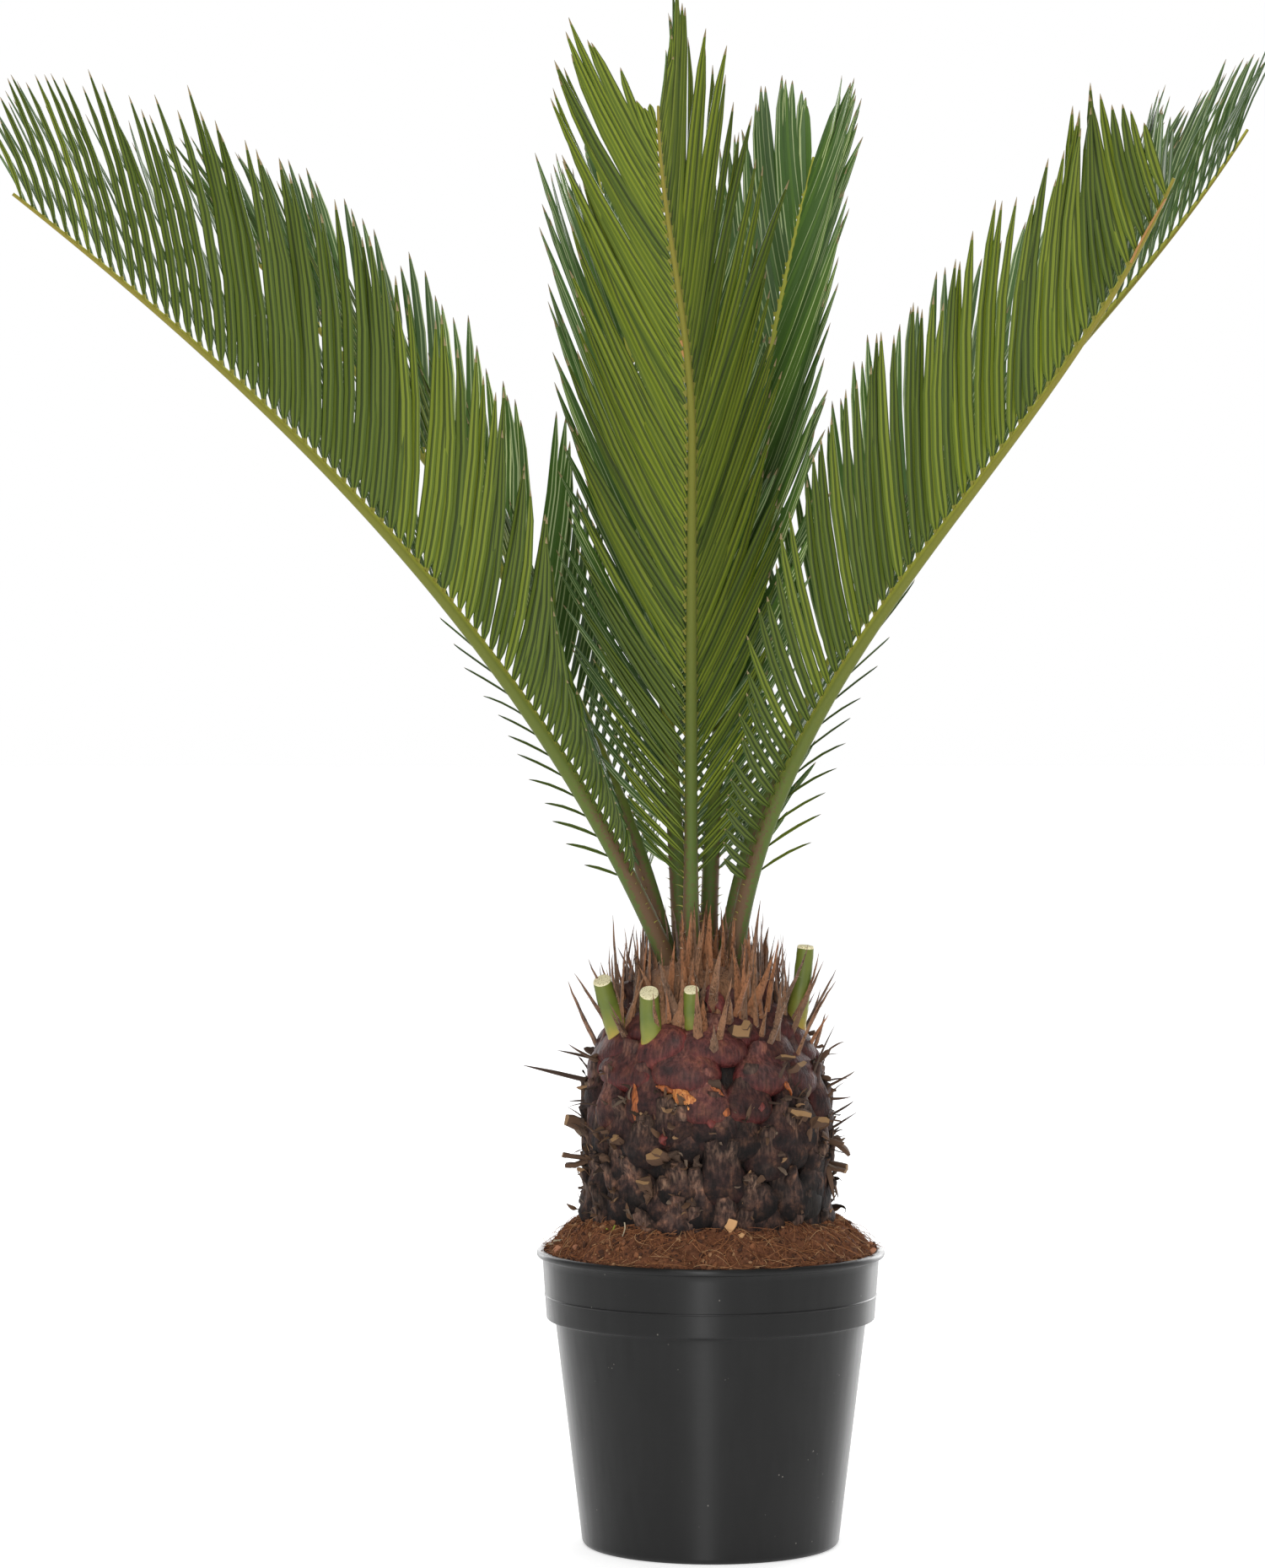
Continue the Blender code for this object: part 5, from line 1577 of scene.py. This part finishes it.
def leaf_materials(settings):
    """Leathery cycad leaflet: a waxy, glossy upper side with pale lanes painted on as glints of the sky,
    and a matt, paler underside.

    In slot order, three shades each of the upper side, the underside, the dark midrib (which also paints
    shade on the underside's margin), the painted glint lane and the underside's shaded part, then the
    yellow foot, the olive foot below it and the spine tip.
    """
    waxy = {"Roughness": 0.4, "IOR": 1.5, "Coat Weight": 0.12, "Coat Roughness": 0.25}
    matt = {"Roughness": 0.62, "Specular IOR Level": 0.3}
    under = settings.under_colour
    upper_shades = ((0.64, 0.68, 0.58), 1.0, (1.45, 1.35, 1.15))
    under_shades = ((0.58, 0.65, 0.66), 1.0, (1.16, 1.14, 0.96))
    glint_lane_shades = ((0.46, 0.52, 0.4), (0.8, 0.85, 0.74), (1.2, 1.2, 1.0))
    found = []
    for name, colour, shades, finish in (
        ("waxy upper cuticle", settings.upper_colour, upper_shades, waxy),
        ("matt under leaf", under, under_shades, matt),
        # Dark midrib colour; on the underside's margin face it is painted shade
        ("raised midrib", shaded(under, (0.3, 0.35, 0.28)), under_shades, matt),
        # Painted glints: pale lanes on the upper side in place of the sky's reflection
        ("painted glint lane", linear("#c8d3a4"), glint_lane_shades, waxy),
        ("shaded under leaf", shaded(under, (0.52, 0.6, 0.48)), under_shades, matt),
    ):
        for place, shade in enumerate(shades, 1):
            found.append(surface(f"{name} {place}", {"Base Color": shaded(colour, shade), **finish}))
    ends = {"yellow leaflet foot": "#a8a444", "olive leaflet foot": "#7d7a30", "spine tip": "#8f7f5c"}
    return found + [surface(name, {"Base Color": code, **matt}) for name, code in ends.items()]


def stalk_skin():
    """Fresh leaf stalk: smooth green skin that yellows towards the tip, with painted light that makes
    its upper side paler and yellower, and brown felt on its edges near the foot."""
    stops = [(0.05, "#49572a"), (0.2, "#50622a"), (0.34, "#5b6628")]
    stops += [(0.6, "#6d6f26"), (1.0, "#83782d")]
    finish = {"Roughness": 0.55, "IOR": 1.42, "Specular IOR Level": 0.3}
    stalk, colour, mottle = mottled_stalk("leaf stalk skin", finish, 300.0, 3.0, 0.1, stops)
    keys = ("felted", "sunny")
    felted, sunny = (add(stalk, "Attribute", attribute_name=key).outputs["Fac"] for key in keys)
    # Painted light: the rib's upper side mixed towards a pale yellow-green
    lit_upper_colour = add(stalk, "Mix", {0: sunny, 6: colour, 7: "#a9ab42"}, data_type="RGBA")
    where = add(stalk, "TexCoord").outputs["Object"]
    nap = add(stalk, "TexNoise", {"Vector": where, "Scale": 900.0, "Detail": 3.0})
    patchy = add(stalk, "Math", {0: nap, 1: felted}, operation="ADD")
    cover = add(stalk, "MapRange", {"Value": patchy, **span(0.8, 1.1)})
    covered = add(stalk, "Mix", {0: cover, 6: lit_upper_colour, 7: "#5f4832"}, data_type="RGBA")
    bump = add(stalk, "Bump", {"Strength": 0.2, "Distance": 0.0002, "Height": mottle})
    return patterned(stalk, {"Base Color": covered, "Normal": bump})


RIB_SIDES = 14
THORN_PLACES = np.arange(0.045, 0.15, 0.0098)
# Dry flakes and dried tips: frond, place along its rib, length, width and thickness in mm, and how
# far they turn off the rib
FLAKES = (
    ("front", 0.712, 3.2, 1.6, 0.9, 0.3),
    ("front", 0.699, 3.8, 1.5, 0.9, 0.2),
    ("front_right", 0.905, 34.0, 2.7, 1.4, 0.02),
    ("left", 0.93, 22.0, 2.2, 1.2, 0.02),
)


class SAGO_OT_ribs(bpy.types.Operator):
    """Makes every frond's stalk and midrib, with thorns and dry flakes"""

    bl_idname = "sago.ribs"
    bl_label = "Ribs"

    def execute(self, context):
        green = stalk_skin()
        places = np.linspace(0.0, 1.0, 56)
        along = places[None, :, None]
        section = circle(RIB_SIDES)
        edge = ease(np.abs(section[:, 0]), 0.5, 1.0)
        felted = (0.45 * edge + 0.34) * ease(along, 0.4, 0.04)
        # Painted light on the rib's upper side, growing from the foot towards the tip
        sunny = ease(section[:, 1], 0.1, 0.8) * ease(along, 0.15, 0.45)
        for frond in FRONDS:
            line, tangent, upper, sideways = rib_line(frond, places)
            radius = np.interp(places, RIB_PLACES, RIB_RADII)[None]
            radius = radius * (1 - (1 - RIB_SHARES.get(frond, 1.0)) * ease(places, 0.02, 0.2))
            rings = sweep(section, line[None], sideways[None], upper[None], radius, radius)
            part = skin(rings, along=along, felted=felted, sunny=sunny)
            piece(f"frond_rib_{frond}", [part], [green], [f"rib_{frond}"], 60.0)
        self.thorns()
        self.flakes()
        return {"FINISHED"}

    def flakes(self):
        """Dry flakes beside the front frond's midrib, and two fronds' dried tips."""
        parts = []
        for frond, place, long, wide, thick, lean in FLAKES:
            line, tangent, upper, sideways = rib_line(frond, np.array([place]))
            starts = line + 0.0012 * sideways
            ends = starts + MM * long * unit(tangent + lean * sideways)
            size = (MM * np.array([wide]), MM * np.array([thick]))
            bows = 0.02 * MM * long * upper
            rings = reeds(starts, ends, bows, -upper, *size, SCALE_LEAF, BLUNT, SPIKE_DEEP, 9)
            parts.append(skin(rings))
        piece("dried_bits", parts, plains({"dried leaflet": "#a57a48"}, 0.8), (), 50.0)

    def thorns(self):
        """Short thorns along both edges of every stalk, below its leaflets."""
        rng = np.random.default_rng(17)
        count = len(THORN_PLACES)
        parts = []
        for frond, side in ((frond, side) for frond in FRONDS for side in (1, -1)):
            places = THORN_PLACES + rng.normal(0.0, 0.002, count)
            line, tangent, upper, sideways = rib_line(frond, places)
            lean = rng.uniform(0.2, 0.9, count)[:, None]
            out = unit(side * sideways + 0.35 * upper + lean * tangent)
            starts = line + 0.8 * np.interp(places, RIB_PLACES, RIB_RADII)[:, None] * side * sideways
            length = MM * (rng.uniform(0.9, 3.4, count) + 18 * (places - 0.05))
            ends = starts + length[:, None] * out
            thick = MM * rng.uniform(0.6, 1.1, count)
            line = (starts, ends, 0.4 * MM * tangent, upper)
            parts.append(skin(reeds(*line, thick, thick, circle(5), SHARP, SHARP, 5)))
        piece("stalk_thorns", parts, plains({"yellow-green thorn": "#8f8a40"}, 0.5), (), 60.0)


class SAGO_OT_leaflets(bpy.types.Operator):
    """Makes both rows of leaflets on every frond"""

    bl_idname = "sago.leaflets"
    bl_label = "Leaflets"

    def execute(self, context):
        settings = context.scene.sago_frond
        materials = leaf_materials(settings)
        for order, frond in enumerate(FRONDS):
            for side, label in ((1, "a"), (-1, "b")):
                rng = np.random.default_rng(100 + 2 * order + (side > 0))
                row = leaflet_row(frond, side, settings, rng)
                replaced = [f"blade_{frond}_{label}"]
                piece(f"leaflets_{frond}_{label}", [row], materials, replaced, 50.0)
        return {"FINISHED"}


# ---- add-on ----------------------------------------------------------------------------------
class SAGO_PT_panel(bpy.types.Panel):
    """Lists the steps that build the palm"""

    bl_label = "Sago palm"
    bl_idname = "SAGO_PT_panel"
    bl_space_type = "VIEW_3D"
    bl_region_type = "UI"
    bl_category = "Sago palm"

    def draw(self, context):
        for step in STEPS:
            self.layout.operator(step.bl_idname, text=step.bl_label)


STEPS = (
    SAGO_OT_stage,
    SAGO_OT_pot,
    SAGO_OT_soil,
    SAGO_OT_trunk,
    SAGO_OT_crown,
    SAGO_OT_stubs,
    SAGO_OT_ribs,
    SAGO_OT_leaflets,
)
SETTINGS = {
    "sago_stage": StageSettings,
    "sago_pot": PotSettings,
    "sago_soil": SoilSettings,
    "sago_trunk": TrunkSettings,
    "sago_crown": CrownSettings,
    "sago_frond": FrondSettings,
}


def register():
    for group in SETTINGS.values():
        bpy.utils.register_class(group)
    for name, group in SETTINGS.items():
        setattr(bpy.types.Scene, name, PointerProperty(type=group))
    for kind in (*STEPS, SAGO_PT_panel):
        bpy.utils.register_class(kind)


def unregister():
    for kind in (SAGO_PT_panel, *reversed(STEPS)):
        bpy.utils.unregister_class(kind)
    for name, group in SETTINGS.items():
        delattr(bpy.types.Scene, name)
        bpy.utils.unregister_class(group)


def main():
    register()
    for step in STEPS:
        group, name = step.bl_idname.split(".")
        getattr(getattr(bpy.ops, group), name)()


if __name__ == "__main__":
    main()
